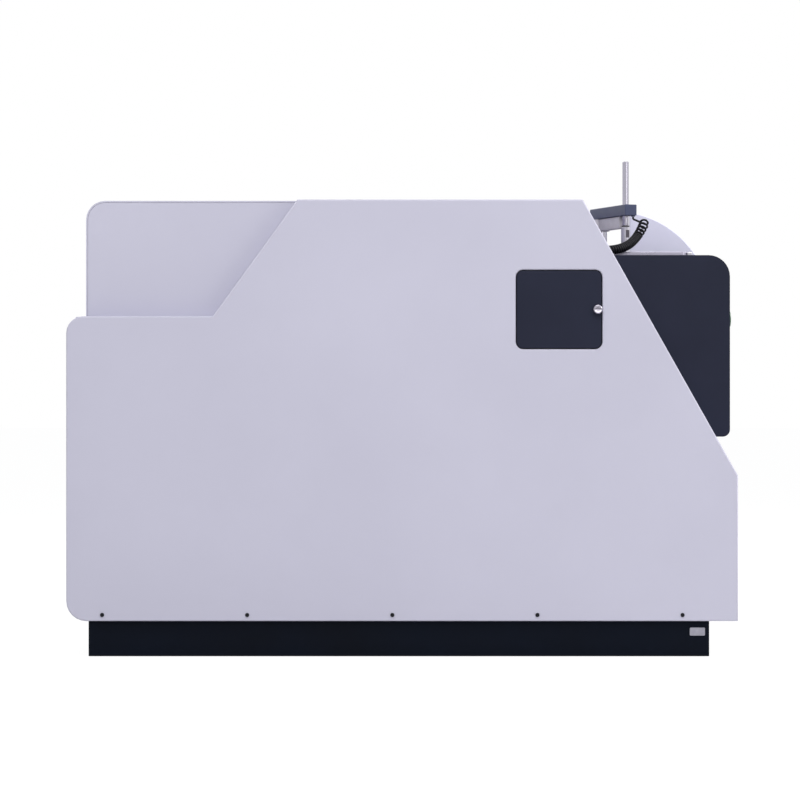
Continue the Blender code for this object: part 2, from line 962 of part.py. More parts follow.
def stand_body():
    """The block under the plate with the spark chamber and the way out for the light."""
    top = nose_deck
    low = (stand_x - stand_width / 2, stand_y - stand_depth / 2, top - stand_height)
    high = (stand_x + stand_width / 2, stand_y + stand_depth / 2, top)
    body = block("stand_body", low, high, aluminium())
    floor = top - chamber_depth
    base = (stand_x, stand_y, floor + overrun)
    cut_bore(body, "spark_chamber_bore", base, (0, 0, 1), chamber_radius, chamber_depth, 24)
    base = (stand_x, stand_y, top - stand_height)
    radius = insulator_radius + gap
    cut_bore(body, "insulator_bore", base, (0, 0, 1), radius, stand_height - chamber_depth, 24)
    base = (stand_x - stand_width / 2, stand_y, light_z)
    length = stand_width / 2 - chamber_radius
    cut_bore(body, "light_way", base, (1, 0, 0), light_bore_radius, length, 16)


def electrode_parts():
    tip = plate_top - spark_gap
    base = tip - electrode_length
    profile = [
        (0, 0),
        (electrode_radius, 0),
        (electrode_radius, electrode_length - electrode_point),
        (0, electrode_length),
    ]
    tungsten = finish("tungsten", (0.35, 0.35, 0.37), 0.35, 1.0)
    turned("electrode", profile, (stand_x, stand_y, base), (0, 0, 1), 16, tungsten)
    bottom = nose_deck - stand_height
    bore = electrode_radius + gap
    length = stand_height - chamber_depth
    flange = insulator_flange
    profile = [
        (bore, -flange),
        (insulator_flange_radius, -flange),
        (insulator_flange_radius, -gap),
        (insulator_radius, -gap),
        (insulator_radius, length),
        (bore, length),
    ]
    ceramic = finish("ceramic", (0.85, 0.84, 0.80), 0.3, 0.0)
    turned("electrode_insulator", profile, (stand_x, stand_y, bottom), (0, 0, 1), 24, ceramic)


def light_tube():
    """Tube that carries the light from the spark chamber to the entrance slit."""
    start = chamber_front_x + gap
    length = stand_x - stand_width / 2 - gap - start
    inner = light_bore_radius
    outer = light_bore_radius + light_tube_wall
    profile = [(inner, 0), (outer, 0), (outer, length), (inner, length)]
    turned("light_tube", profile, (start, stand_y, light_z), (1, 0, 0), 20, aluminium())


# Sample clamp

def arm_point(reach, side=0):
    """Plan position on the arm: reach from the column's axis, side to its right."""
    along = Vector((math.cos(arm_turn), math.sin(arm_turn)))
    right = Vector((-along.y, along.x))
    spot = Vector((column_x, column_y)) + along * reach + right * side
    return (spot.x, spot.y)


def arm_outline(start, end, width):
    half = width / 2
    return [arm_point(start, -half), arm_point(end, -half), arm_point(end, half), arm_point(start, half)]


def clamp_column():
    top = arm_body_bottom - gap
    base = nose_deck + gap
    flange = column_radius + column_flange_border
    collar = column_flange_height
    profile = [
        (0, 0),
        (flange, 0),
        (flange, collar),
        (column_radius, collar),
        (column_radius, top - base),
        (column_spigot_radius, top - base),
        (column_spigot_radius, arm_body_top - gap - base),
        (0, arm_body_top - gap - base),
    ]
    turned("clamp_column", profile, (column_x, column_y, base), (0, 0, 1), 24, steel())


def clamp_arm():
    """Silver arm body with a round boss on the column, and the dark block on top of it."""
    outline = arm_outline(0, arm_rod_reach - foot_radius - foot_clearance, arm_body_width)
    body = prism("clamp_arm_body", outline, arm_body_bottom, arm_body_top, "Z", aluminium())
    boss = bmesh.new()
    base = (column_x, column_y, arm_body_bottom)
    grow_turned(boss, rod_profile(arm_boss_radius, arm_body_height), base, (0, 0, 1), 28)
    join(body, tool_from(boss, "arm_boss"))
    radius = column_spigot_radius + arm_bore_clearance
    cut_bore(body, "arm_pivot_bore", base, (0, 0, 1), radius, arm_body_height, 24)
    outline = arm_outline(-arm_block_tail, arm_reach, arm_block_width)
    dark = finish("arm_block", (0.085, 0.090, 0.140), 0.42, 0.4)
    top = prism("clamp_arm_block", outline, arm_block_bottom, arm_block_top, "Z", dark)
    bevel = top.modifiers.new("edges", "BEVEL")
    bevel.width = gap * 2
    bevel.segments = 1
    rod_x, rod_y = arm_point(arm_rod_reach)
    radius = rod_radius + arm_bore_clearance
    base = (rod_x, rod_y, arm_block_bottom)
    cut_bore(top, "rod_bore", base, (0, 0, 1), radius, arm_block_height, 24)
    anchor = bmesh.new()
    spot_x, spot_y = arm_point(anchor_reach, anchor_side)
    base = (spot_x, spot_y, arm_block_bottom - anchor_height)
    grow_turned(anchor, rod_profile(anchor_radius, anchor_height + overrun), base, (0, 0, 1), 16)
    join(top, tool_from(anchor, "cord_anchor"))


def press_rod():
    rod_x, rod_y = arm_point(arm_rod_reach)
    foot_bottom = plate_top + gap
    ring_top = foot_bottom + foot_height + ring_height
    turned(
        "press_rod",
        rod_profile(rod_radius, rod_length, rod_chamfer),
        (rod_x, rod_y, ring_top + gap),
        (0, 0, 1),
        24,
        steel(),
    )
    chamfer = rod_chamfer
    profile = [
        (0, 0),
        (foot_radius - chamfer, 0),
        (foot_radius, chamfer),
        (foot_radius, foot_height - chamfer),
        (foot_radius - chamfer, foot_height),
        (ring_radius, foot_height),
        (ring_radius, foot_height + ring_height),
        (0, foot_height + ring_height),
    ]
    foot = turned("press_foot", profile, (rod_x, rod_y, foot_bottom), (0, 0, 1), 24, steel())
    slot = bmesh.new()
    low_x, low_y = rod_x, rod_y - foot_radius - overrun
    low = (low_x, low_y, foot_bottom + foot_slot_rise)
    high = (low_x + foot_slot_width, rod_y - foot_radius + foot_slot_depth, low[2] + foot_slot_height)
    grow_block(slot, low, high)
    cut(foot, tool_from(slot, "foot_slot"))


# Curly cord

def cord_place(share):
    """A place on the cord's way, measured from the spark's place on the deck."""
    return Vector((stand_x, stand_y, nose_deck)) + Vector(share) * arm_block_base


def cord_axis(samples):
    """The middle of the coil: level out of the plug, then up beside the arm."""
    plug_end = Vector((bay_x + gap + socket_length + gap + plug_length + gap, socket_y, socket_z))
    plug_handle = plug_end + Vector((cord_start_reach, 0, 0))
    loop_handle = cord_place(cord_handle_share)
    loop_centre = cord_place(cord_loop_share)
    return interpolate_bezier(plug_end, plug_handle, loop_handle, loop_centre, samples + 1)


def cord_lead_points():
    """The open end from the last curl up to the arm, square to it where they meet."""
    spot_x, spot_y = arm_point(anchor_reach, anchor_side)
    top = arm_block_bottom - anchor_height - gap
    points = [cord_place(share) for share in cord_lead_shares]
    points.append(Vector((spot_x, spot_y, top - 2 * cord_radius)))
    points.append(Vector((spot_x, spot_y, top)))
    return points


def smooth_path(points, pieces):
    """Evenly spaced points on a smooth curve through the given ones."""
    spots = [Vector(point) for point in points]
    fine = []
    for index in range(len(spots) - 1):
        before = spots[max(index - 1, 0)]
        after = spots[min(index + 2, len(spots) - 1)]
        here, there = spots[index], spots[index + 1]
        for step in range(24):
            t = step / 24
            tangent_here = (there - before) / 2
            tangent_there = (after - here) / 2
            fine.append(
                here * (2 * t ** 3 - 3 * t ** 2 + 1)
                + tangent_here * (t ** 3 - 2 * t ** 2 + t)
                + there * (3 * t ** 2 - 2 * t ** 3)
                + tangent_there * (t ** 3 - t ** 2)
            )
    fine.append(spots[-1])
    lengths = [0.0]
    for first, second in zip(fine, fine[1:]):
        lengths.append(lengths[-1] + (second - first).length)
    even = []
    cursor = 0
    for piece in range(pieces + 1):
        wanted = lengths[-1] * piece / pieces
        while cursor < len(fine) - 2 and lengths[cursor + 1] < wanted:
            cursor += 1
        run = max(lengths[cursor + 1] - lengths[cursor], gap / 1000)
        even.append(fine[cursor].lerp(fine[cursor + 1], (wanted - lengths[cursor]) / run))
    return even, lengths[-1]


def add_tube(name, points, radius, resolution, material):
    """One unbroken round cord or hose along its points, closed at both ends."""
    curve = bpy.data.curves.new(name, "CURVE")
    curve.dimensions = "3D"
    curve.bevel_depth = radius
    curve.bevel_resolution = resolution
    curve.use_fill_caps = True
    spline = curve.splines.new("POLY")
    spline.points.add(len(points) - 1)
    for point, spot in zip(spline.points, points):
        point.co = (*spot, 1.0)
    curve.materials.append(material)
    tube = bpy.data.objects.new(name, curve)
    bpy.context.scene.collection.objects.link(tube)
    return tube


def cord_points():
    """The cord's own line: straight out of the plug, round the coil, up into the arm."""
    samples = 2400
    axis = cord_axis(samples)
    steps = [(b - a).length for a, b in zip(axis, axis[1:])]
    length = sum(steps)
    side = Vector((0, 1, 0))
    lead = 4 * cord_radius
    points = [axis[0], axis[0] + (axis[1] - axis[0]).normalized() * (lead / 2)]
    phase = cord_start_turn
    wanted = phase
    spacing = 2 * math.pi / cord_points_per_curl
    travelled = 0
    for index in range(1, samples):
        travelled += steps[index - 1]
        tangent = (axis[index + 1] - axis[index - 1]).normalized()
        side = (side - tangent * side.dot(tangent)).normalized()
        if travelled < lead:
            continue
        opened = min(max((travelled - length) / cord_open_run + 1, 0), 1)
        pitch = cord_tight_pitch + (cord_open_pitch - cord_tight_pitch) * min(2 * opened, 1)
        phase += 2 * math.pi * steps[index - 1] / pitch
        if phase < wanted:
            continue
        wanted += spacing
        full = cord_coil_radius + (cord_loop_radius - cord_coil_radius) * opened
        swell = (travelled - lead) / (cord_tight_pitch * cord_lead_turns)
        radius = full * min(1, swell)
        other = tangent.cross(side)
        points.append(axis[index] + side * (radius * math.cos(phase)) + other * (radius * math.sin(phase)))
    return points + cord_lead_points()


def least_self_gap(points, radius):
    """Smallest distance between two stretches of the cord that aren't neighbours."""
    least = float("inf")
    reach = cord_points_per_curl // 2 + 1
    for first in range(len(points)):
        for second in range(first + reach, len(points)):
            least = min(least, (points[first] - points[second]).length)
    return least - 2 * radius


def curly_cord():
    points = cord_points()
    add_tube("curly_cord", points, cord_radius, 1, rubber())
    clearance = least_self_gap(points, cord_radius)
    length = sum((b - a).length for a, b in zip(points, points[1:]))
    print("curly cord: least gap to itself %.2f mm, length %.3f m" % (clearance * 1000, length))


def cord_fittings():
    base = (bay_x + gap, socket_y, socket_z)
    profile = [(0, 0), (socket_radius, 0), (socket_radius, socket_length), (0, socket_length)]
    socket = turned("cord_socket", profile, base, (1, 0, 0), 6, steel())
    tail = bmesh.new()
    tail_base = (bay_x - sheet - gap, socket_y, socket_z)
    grow_turned(tail, rod_profile(plug_nose_radius, sheet + 3 * gap), tail_base, (1, 0, 0), 16)
    join(socket, tool_from(tail, "socket_tail"))
    base = (bay_x + gap + socket_length + gap, socket_y, socket_z)
    tip = plug_length - plug_nose_length
    profile = [
        (0, 0),
        (plug_radius, 0),
        (plug_radius, tip),
        (plug_nose_radius, plug_length),
        (0, plug_length),
    ]
    turned("cord_plug", profile, base, (1, 0, 0), 20, black_plastic())


# Service door

def door_rect(border):
    half = door_opening_width / 2 + border
    rise = door_opening_height / 2 + border
    radius = door_corner_radius + border
    return box_corners(door_x - half, door_centre_z - rise, door_x + half, door_centre_z + rise, radius)


def door_opening_tool(name, border=0):
    shape = bmesh.new()
    low = left_y - overrun
    high = left_y + sheet + door_frame_depth + service_box_depth + overrun
    grow_prism(shape, rounded(door_rect(border), steps=4), low, high, "Y")
    return tool_from(shape, name)


def door_frame():
    """Ring behind the panel's skin that carries the hinge pins and takes the latch."""
    front = left_y + sheet + gap
    outline = rounded(door_rect(door_frame_border), steps=4)
    frame = prism("door_frame", outline, front, front + door_frame_depth, "Y", black_plastic())
    cut(frame, door_opening_tool("door_frame_opening"))
    pins = bmesh.new()
    rise = door_opening_height / 2
    length = door_pin_seat + door_gap + door_pin_bite
    for side in (-1, 1):
        base = (pivot_x, pivot_y, door_centre_z + side * (rise + door_pin_seat))
        grow_turned(pins, rod_profile(door_pin_radius, length), base, (0, 0, -side), 12)
    join(frame, tool_from(pins, "hinge_pins"))
    pocket = bmesh.new()
    half = latch_width / 2 + latch_pocket_clearance
    latch_y = left_y + door_thickness + gap
    low_z = door_centre_z - latch_length - latch_pocket_clearance
    low = (door_right - overrun, latch_y - latch_pocket_clearance / 2, low_z)
    high_x = knob_x + latch_length + latch_pocket_clearance
    high = (high_x, latch_y + latch_thickness + latch_pocket_clearance, door_centre_z + half)
    grow_block(pocket, low, high)
    cut(frame, tool_from(pocket, "latch_pocket"))


def side_door():
    back = left_y + door_thickness
    door = prism("side_door", rounded(door_rect(-door_gap), steps=4), left_y, back, "Y", dark_paint())
    bores = bmesh.new()
    rise = door_opening_height / 2 - door_gap
    depth = door_pin_bite + gap
    for side in (-1, 1):
        base = (pivot_x, pivot_y, door_centre_z + side * (rise + overrun))
        grow_turned(bores, rod_profile(door_pin_radius + gap, depth + overrun), base, (0, 0, -side), 12)
    cut(door, tool_from(bores, "pin_bores"))
    base = (knob_x, left_y, door_centre_z)
    cut_bore(door, "latch_stem_hole", base, (0, 1, 0), knob_stem_radius + gap, door_thickness, 16)


def door_latch():
    """Turned knob with its stem, and the cam on the stem's inner end."""
    face = left_y - gap
    base = (knob_x, face - knob_height, door_centre_z)
    bevel = knob_height / 8
    stem = knob_height + gap + door_thickness + gap
    profile = [
        (0, 0),
        (knob_radius - bevel, 0),
        (knob_radius, bevel),
        (knob_radius, knob_height),
        (knob_stem_radius, knob_height),
        (knob_stem_radius, stem - gap),
        (0, stem - gap),
    ]
    turned("door_knob", profile, base, (0, 1, 0), 20, steel())
    cam_y = left_y + door_thickness + gap
    half = latch_width / 2
    points = [(knob_x - half, door_centre_z - latch_length)]
    points.append((knob_x + half, door_centre_z - latch_length))
    steps = 6
    for step in range(steps + 1):
        angle = math.pi * step / steps
        points.append((knob_x + half * math.cos(angle), door_centre_z + half * math.sin(angle)))
    prism("latch_cam", points, cam_y, cam_y + latch_thickness, "Y", zinc())


def service_box():
    """Shallow compartment behind the door, open towards it."""
    front = left_y + sheet + gap + door_frame_depth + gap
    back = front + service_box_depth
    wall = service_box_wall
    grown = door_rect(wall)
    box = prism("service_box", rounded(grown, steps=4), front, back, "Y", black_plastic())
    hollow = bmesh.new()
    grow_prism(hollow, rounded(door_rect(0), steps=4), front - overrun, back - wall, "Y")
    cut(box, tool_from(hollow, "service_box_hollow"))
    return back - wall


def filter_cartridge(back):
    """Round particle filter that stands on the compartment's back wall."""
    base = (door_x, back - gap, door_centre_z)
    rim = filter_grip_height / 3
    profile = [
        (0, 0),
        (filter_radius, 0),
        (filter_radius, filter_length - rim),
        (filter_radius - rim, filter_length),
        (0, filter_length),
    ]
    pale = finish("filter_white", (0.75, 0.75, 0.72), 0.5, 0.0)
    body = turned("filter_cartridge", profile, base, (0, -1, 0), 28, pale)
    grip = bmesh.new()
    top = base[1] - filter_length
    half = filter_grip_length / 2
    wide = filter_grip_width / 2
    low = (door_x - half, top - filter_grip_height, door_centre_z - wide)
    grow_block(grip, low, (door_x + half, top + overrun, door_centre_z + wide))
    join(body, tool_from(grip, "filter_grip"))


# Front buttons

def button_places():
    return [button_y - button_spacing / 2, button_y + button_spacing / 2]


def buttons():
    """Start and stop caps in the guides of one plate on the nose's front."""
    places = button_places()
    face = nose_front + gap
    corners = box_corners(
        places[0] - button_bezel_radius,
        button_height - button_bezel_radius,
        places[1] + button_bezel_radius,
        button_height + button_bezel_radius,
        button_corner_radius,
    )
    plate = prism("button_plate", rounded(corners), face, face + button_plate_thickness, "X", steel())
    guides = bmesh.new()
    bores = bmesh.new()
    reach = button_depth + button_plate_thickness / 2
    for centre_y in places:
        base = (face - button_depth, centre_y, button_height)
        grow_turned(guides, rod_profile(button_radius + gap + button_guide_wall, reach), base, (1, 0, 0), 24)
        base = (face - button_depth - overrun, centre_y, button_height)
        reach_through = button_depth + button_plate_thickness + 2 * overrun
        grow_turned(bores, rod_profile(button_radius + gap, reach_through), base, (1, 0, 0), 24)
    join(plate, tool_from(guides, "button_guides"))
    cut(plate, tool_from(bores, "button_bores"))
    colours = {"start_button": (0.03, 0.30, 0.08), "stop_button": (0.45, 0.02, 0.02)}
    for name, centre_y in zip(colours, places):
        proud = face + button_plate_thickness + button_proud
        length = proud - (face - button_depth) - button_travel - gap
        rim = button_proud / 4
        cap = [(0, 0), (button_radius, 0), (button_radius, length - rim), (button_radius - rim, length), (0, length)]
        colour = finish(name + "_cap", colours[name], 0.35, 0.0)
        turned(name, cap, (proud - length, centre_y, button_height), (1, 0, 0), 24, colour)


# Rear fittings

def fan_frame():
    """Square fan housing with its round duct, motor seat and struts."""
    front = core_rear + sheet + gap
    back = front + fan_depth
    half = fan_size / 2
    corners = box_corners(rear_fan_y - half, rear_fan_z - half, rear_fan_y + half, rear_fan_z + half, fan_corner_radius)
    frame = prism("fan_frame", rounded(corners, steps=3), front, back, "X", black_plastic())
    base = (front, rear_fan_y, rear_fan_z)
    cut_bore(frame, "fan_duct", base, (1, 0, 0), fan_duct_radius, fan_depth, 32)
    seat = bmesh.new()
    base = (back - fan_strut_depth, rear_fan_y, rear_fan_z)
    grow_turned(seat, rod_profile(fan_hub_radius, fan_strut_depth), base, (1, 0, 0), 24)
    join(frame, tool_from(seat, "motor_seat"))
    struts = bmesh.new()
    reach = fan_duct_radius + overrun
    wide = fan_strut_width / 2
    low = (back - fan_strut_depth, rear_fan_y - wide, rear_fan_z - reach)
    grow_block(struts, low, (back, rear_fan_y + wide, rear_fan_z + reach))
    cross = bmesh.new()
    low = (back - fan_strut_depth, rear_fan_y - reach, rear_fan_z - wide)
    grow_block(cross, low, (back, rear_fan_y + reach, rear_fan_z + wide))
    join(frame, tool_from(struts, "upright_struts"))
    join(frame, tool_from(cross, "level_struts"))


def fan_rotor():
    """Hub with twisted blades, each a thin lofted plate that roots inside the hub."""
    front = core_rear + sheet + gap
    depth = fan_depth - fan_strut_depth - overrun - 2 * gap
    base = (front + overrun, rear_fan_y, rear_fan_z)
    rotor = turned("fan_rotor", rod_profile(fan_hub_radius, depth), base, (1, 0, 0), 28, black_plastic())
    blades = bmesh.new()
    stations = 5
    middle = front + overrun + depth / 2
    for blade in range(fan_blade_count):
        around = 2 * math.pi * blade / fan_blade_count
        rings = []
        for station in range(stations):
            share = station / (stations - 1)
            start = fan_hub_radius - overrun
            radius = start + (fan_blade_radius - start) * share
            pitch = fan_root_pitch + (fan_tip_pitch - fan_root_pitch) * share
            chord = fan_blade_chord * (fan_hub_radius + (fan_blade_radius - fan_hub_radius) * share) / fan_blade_radius
            half_chord = min(chord / 2, depth / 2 / math.sin(pitch) - gap * 4)
            ring = []
            for along, across in ((-1, -1), (1, -1), (1, 1), (-1, 1)):
                run = along * half_chord
                lift = across * fan_blade_thickness / 2
                depth_x = run * math.sin(pitch) + lift * math.cos(pitch)
                tangent = run * math.cos(pitch) - lift * math.sin(pitch)
                swing = tangent / radius
                local = Vector((depth_x, radius * math.sin(swing), radius * math.cos(swing)))
                spot = Matrix.Rotation(around, 3, "X") @ local
                spot += Vector((middle, rear_fan_y, rear_fan_z))
                ring.append(blades.verts.new(spot))
            rings.append(ring)
        for lower, upper in zip(rings, rings[1:]):
            for index in range(4):
                following = (index + 1) % 4
                blades.faces.new((lower[index], lower[following], upper[following], upper[index]))
        blades.faces.new(rings[0])
        blades.faces.new(rings[-1])
    join(rotor, tool_from(blades, "fan_blades"))


def fan_grille():
    """Flat guard over the fan with a round field of slots."""
    back = core_rear - gap
    half = grille_size / 2
    corners = box_corners(rear_fan_y - half, rear_fan_z - half, rear_fan_y + half, rear_fan_z + half, fan_corner_radius)
    grille = prism("fan_grille", rounded(corners, steps=3), back - grille_thickness, back, "X", black_plastic())
    slots = bmesh.new()
    rows = int(grille_slot_radius / grille_slot_pitch)
    for row in range(-rows, rows + 1):
        offset = row * grille_slot_pitch
        chord = math.sqrt(max(grille_slot_radius ** 2 - offset ** 2, 0))
        rib = grille_slot_pitch - grille_slot_width
        if chord < grille_slot_pitch:
            continue
        for low_y, high_y in ((-chord, -rib / 2), (rib / 2, chord)):
            low = (back - grille_thickness - overrun, rear_fan_y + low_y, rear_fan_z + offset - grille_slot_width / 2)
            high = (back + overrun, rear_fan_y + high_y, rear_fan_z + offset + grille_slot_width / 2)
            grow_block(slots, low, high)
    cut(grille, tool_from(slots, "grille_slots"))


def power_inlet():
    """Appliance inlet below, power switch seat above, in one moulded body."""
    face = core_rear - gap
    half = inlet_width / 2
    rise = inlet_height / 2
    low = (face - inlet_flange_thickness, inlet_y - half - inlet_flange, inlet_z - rise - inlet_flange)
    high = (face, inlet_y + half + inlet_flange, inlet_z + rise + inlet_flange)
    body = block("power_inlet", low, high, black_plastic())
    trunk = bmesh.new()
    low = (face - inlet_flange_thickness / 2, inlet_y - half, inlet_z - rise)
    grow_block(trunk, low, (face + inlet_depth, inlet_y + half, inlet_z + rise))
    join(body, tool_from(trunk, "inlet_trunk"))
    socket = bmesh.new()
    centre_z = inlet_z - inlet_split
    low = (
        face - inlet_flange_thickness - overrun,
        inlet_y - inlet_socket_width / 2,
        centre_z - inlet_socket_height / 2,
    )
    high = (
        face - inlet_flange_thickness + inlet_socket_depth,
        inlet_y + inlet_socket_width / 2,
        centre_z + inlet_socket_height / 2,
    )
    grow_block(socket, low, high)
    cut(body, tool_from(socket, "inlet_socket"))
    seat = bmesh.new()
    wide = rocker_width / 2 + rocker_clearance
    tall = rocker_radius + 2 * rocker_clearance
    low = (face - inlet_flange_thickness - overrun, inlet_y - wide, inlet_z + inlet_split - tall)
    high_x = rocker_axis()[0] + rocker_radius + 2 * rocker_clearance
    grow_block(seat, low, (high_x, inlet_y + wide, inlet_z + inlet_split + tall))
    cut(body, tool_from(seat, "rocker_seat"))
    pins = bmesh.new()
    for side in (-1, 1):
        start = inlet_y + side * (wide + rocker_clearance)
        length = rocker_clearance * 3
        axle = (face - inlet_flange_thickness / 2, start, inlet_z + inlet_split)
        grow_turned(pins, rod_profile(inlet_flange_thickness / 3, length), axle, (0, -side, 0), 8)
    join(body, tool_from(pins, "rocker_pins"))


def rocker_axis():
    face = core_rear - gap
    return (face - inlet_flange_thickness / 2, inlet_y, inlet_z + inlet_split)


def power_rocker():
    """Round-backed rocker with a shallow V front, set to off at rest."""
    centre_x, centre_y, centre_z = rocker_axis()
    radius = rocker_radius
    tilt = rocker_throw / 2
    points = []
    steps = 12
    for step in range(steps + 1):
        angle = -math.pi / 2 + math.pi * step / steps
        points.append((centre_x + radius * math.cos(angle), centre_z + radius * math.sin(angle)))
    edge = rocker_height / 5
    proud = edge * 2
    points.append((centre_x - edge - proud * math.sin(tilt) * 2, centre_z + radius))
    points.append((centre_x - edge, centre_z))
    points.append((centre_x - edge, centre_z - radius))
    low = inlet_y - rocker_width / 2
    rocker = prism("power_rocker", points, low, low + rocker_width, "Y", black_plastic())
    dents = bmesh.new()
    for side in (-1, 1):
        start = inlet_y + side * (rocker_width / 2 + overrun)
        length = overrun + rocker_clearance * 2
        grow_turned(
            dents,
            rod_profile(inlet_flange_thickness / 3 + gap, length),
            (centre_x, start, centre_z),
            (0, -side, 0),
            8,
        )
    cut(rocker, tool_from(dents, "rocker_dents"))


def data_port():
    face = core_rear - gap
    half = port_width / 2
    rise = port_height / 2
    border = inlet_flange
    low = (face - port_flange_thickness, port_y - half - border, port_z - rise - border)
    body = block("data_port", low, (face, port_y + half + border, port_z + rise + border), zinc())
    trunk = bmesh.new()
    low = (face - port_flange_thickness / 2, port_y - half, port_z - rise)
    grow_block(trunk, low, (face + port_depth, port_y + half, port_z + rise))
    join(body, tool_from(trunk, "port_trunk"))
    sockets = bmesh.new()
    for side in (-1, 1):
        centre = port_y + side * port_socket_spacing / 2
        low = (
            face - port_flange_thickness - overrun,
            centre - port_socket_width / 2,
            port_z - port_socket_height / 2,
        )
        high = (
            face - port_flange_thickness + port_socket_depth,
            centre + port_socket_width / 2,
            port_z + port_socket_height / 2,
        )
        grow_block(sockets, low, high)
    cut(body, tool_from(sockets, "port_sockets"))


def gas_fitting(name, centre_y, material):
    """Push-in gas fitting: a bored barrel through the rear panel with a hexagon outside."""
    face = core_rear - gap
    length = gas_proud + gap + sheet + gas_tail
    start = face - gas_proud
    profile = [(0, 0), (gas_radius, 0), (gas_radius, length), (0, length)]
    body = turned(name, profile, (start, centre_y, gas_z), (1, 0, 0), 20, material)
    nut = bmesh.new()
    hexagon = rod_profile(gas_hex_radius, gas_hex_height)
    grow_turned(nut, hexagon, (face - gas_hex_height, centre_y, gas_z), (1, 0, 0), 6)
    join(body, tool_from(nut, name + "_nut"))
    base = (start, centre_y, gas_z)
    cut_bore(body, name + "_bore", base, (1, 0, 0), gas_bore_radius, gas_proud, 16)


# Frame, shelf and optics inside

def equipment_frame():
    """Welded frame: four angle posts from the floor plate and the shelf for the optics."""
    rear = hood_rear + sheet + rear_post_inset
    leg = post_leg
    wall = post_wall
    outer = core_half - sheet - gap
    edge = outer - wall / 2
    low = (rear + wall / 2, -edge, shelf_height)
    shelf = block("equipment_frame", low, (shelf_front_x, edge, shelf_top), zinc())
    notch = bmesh.new()
    box_low = door_x - door_opening_width / 2 - service_box_wall - gap
    box_back = left_y + sheet + door_frame_depth + service_box_depth + 3 * gap
    low = (box_low, -outer - overrun, shelf_height - overrun)
    grow_block(notch, low, (shelf_front_x + overrun, box_back, shelf_top + overrun))
    cut(shelf, tool_from(notch, "shelf_notch"))
    posts = bmesh.new()
    for side in (-1, 1):
        for corner_x in (rear, front_post_x):
            points = [
                (corner_x, side * outer),
                (corner_x + leg, side * outer),
                (corner_x + leg, side * (outer - wall)),
                (corner_x + wall, side * (outer - wall)),
                (corner_x + wall, side * (outer - leg)),
                (corner_x, side * (outer - leg)),
            ]
            grow_prism(posts, points, floor_top + gap, chamber_top, "Z")
    join(shelf, tool_from(posts, "frame_posts"))


def optical_chamber():
    low = (chamber_rear_x, -chamber_half_width, chamber_bottom)
    chamber = block("optical_chamber", low, (chamber_front_x, chamber_half_width, chamber_top), aluminium())
    wall = chamber_wall
    hollow = bmesh.new()
    low = (chamber_rear_x + wall, -chamber_half_width + wall, chamber_bottom + wall)
    high = (chamber_front_x - wall, chamber_half_width - wall, chamber_top + overrun)
    grow_block(hollow, low, high)
    cut(chamber, tool_from(hollow, "chamber_hollow"))
    feet = bmesh.new()
    for place_x in (chamber_rear_x + foot_inset, chamber_front_x - foot_inset):
        for place_y in (-chamber_half_width + foot_inset, chamber_half_width - foot_inset):
            base = (place_x, place_y, shelf_top + gap)
            length = chamber_bottom - shelf_top - gap + overrun
            grow_turned(feet, rod_profile(chamber_foot_radius, length), base, (0, 0, 1), 16)
    join(chamber, tool_from(feet, "chamber_feet"))
    base = (chamber_front_x - wall, stand_y, light_z)
    cut_bore(chamber, "light_entry", base, (1, 0, 0), light_bore_radius, wall, 16)
    border = lid_border
    low = (chamber_rear_x - border, -chamber_half_width - border, chamber_top + gap)
    high = (chamber_front_x + border, chamber_half_width + border, chamber_top + gap + lid_thickness)
    block("optical_lid", low, high, aluminium())


def rowland_point(angle, radius=rowland_radius):
    centre_x = grating_x + rowland_radius
    return (centre_x + radius * math.cos(angle), radius * math.sin(angle))


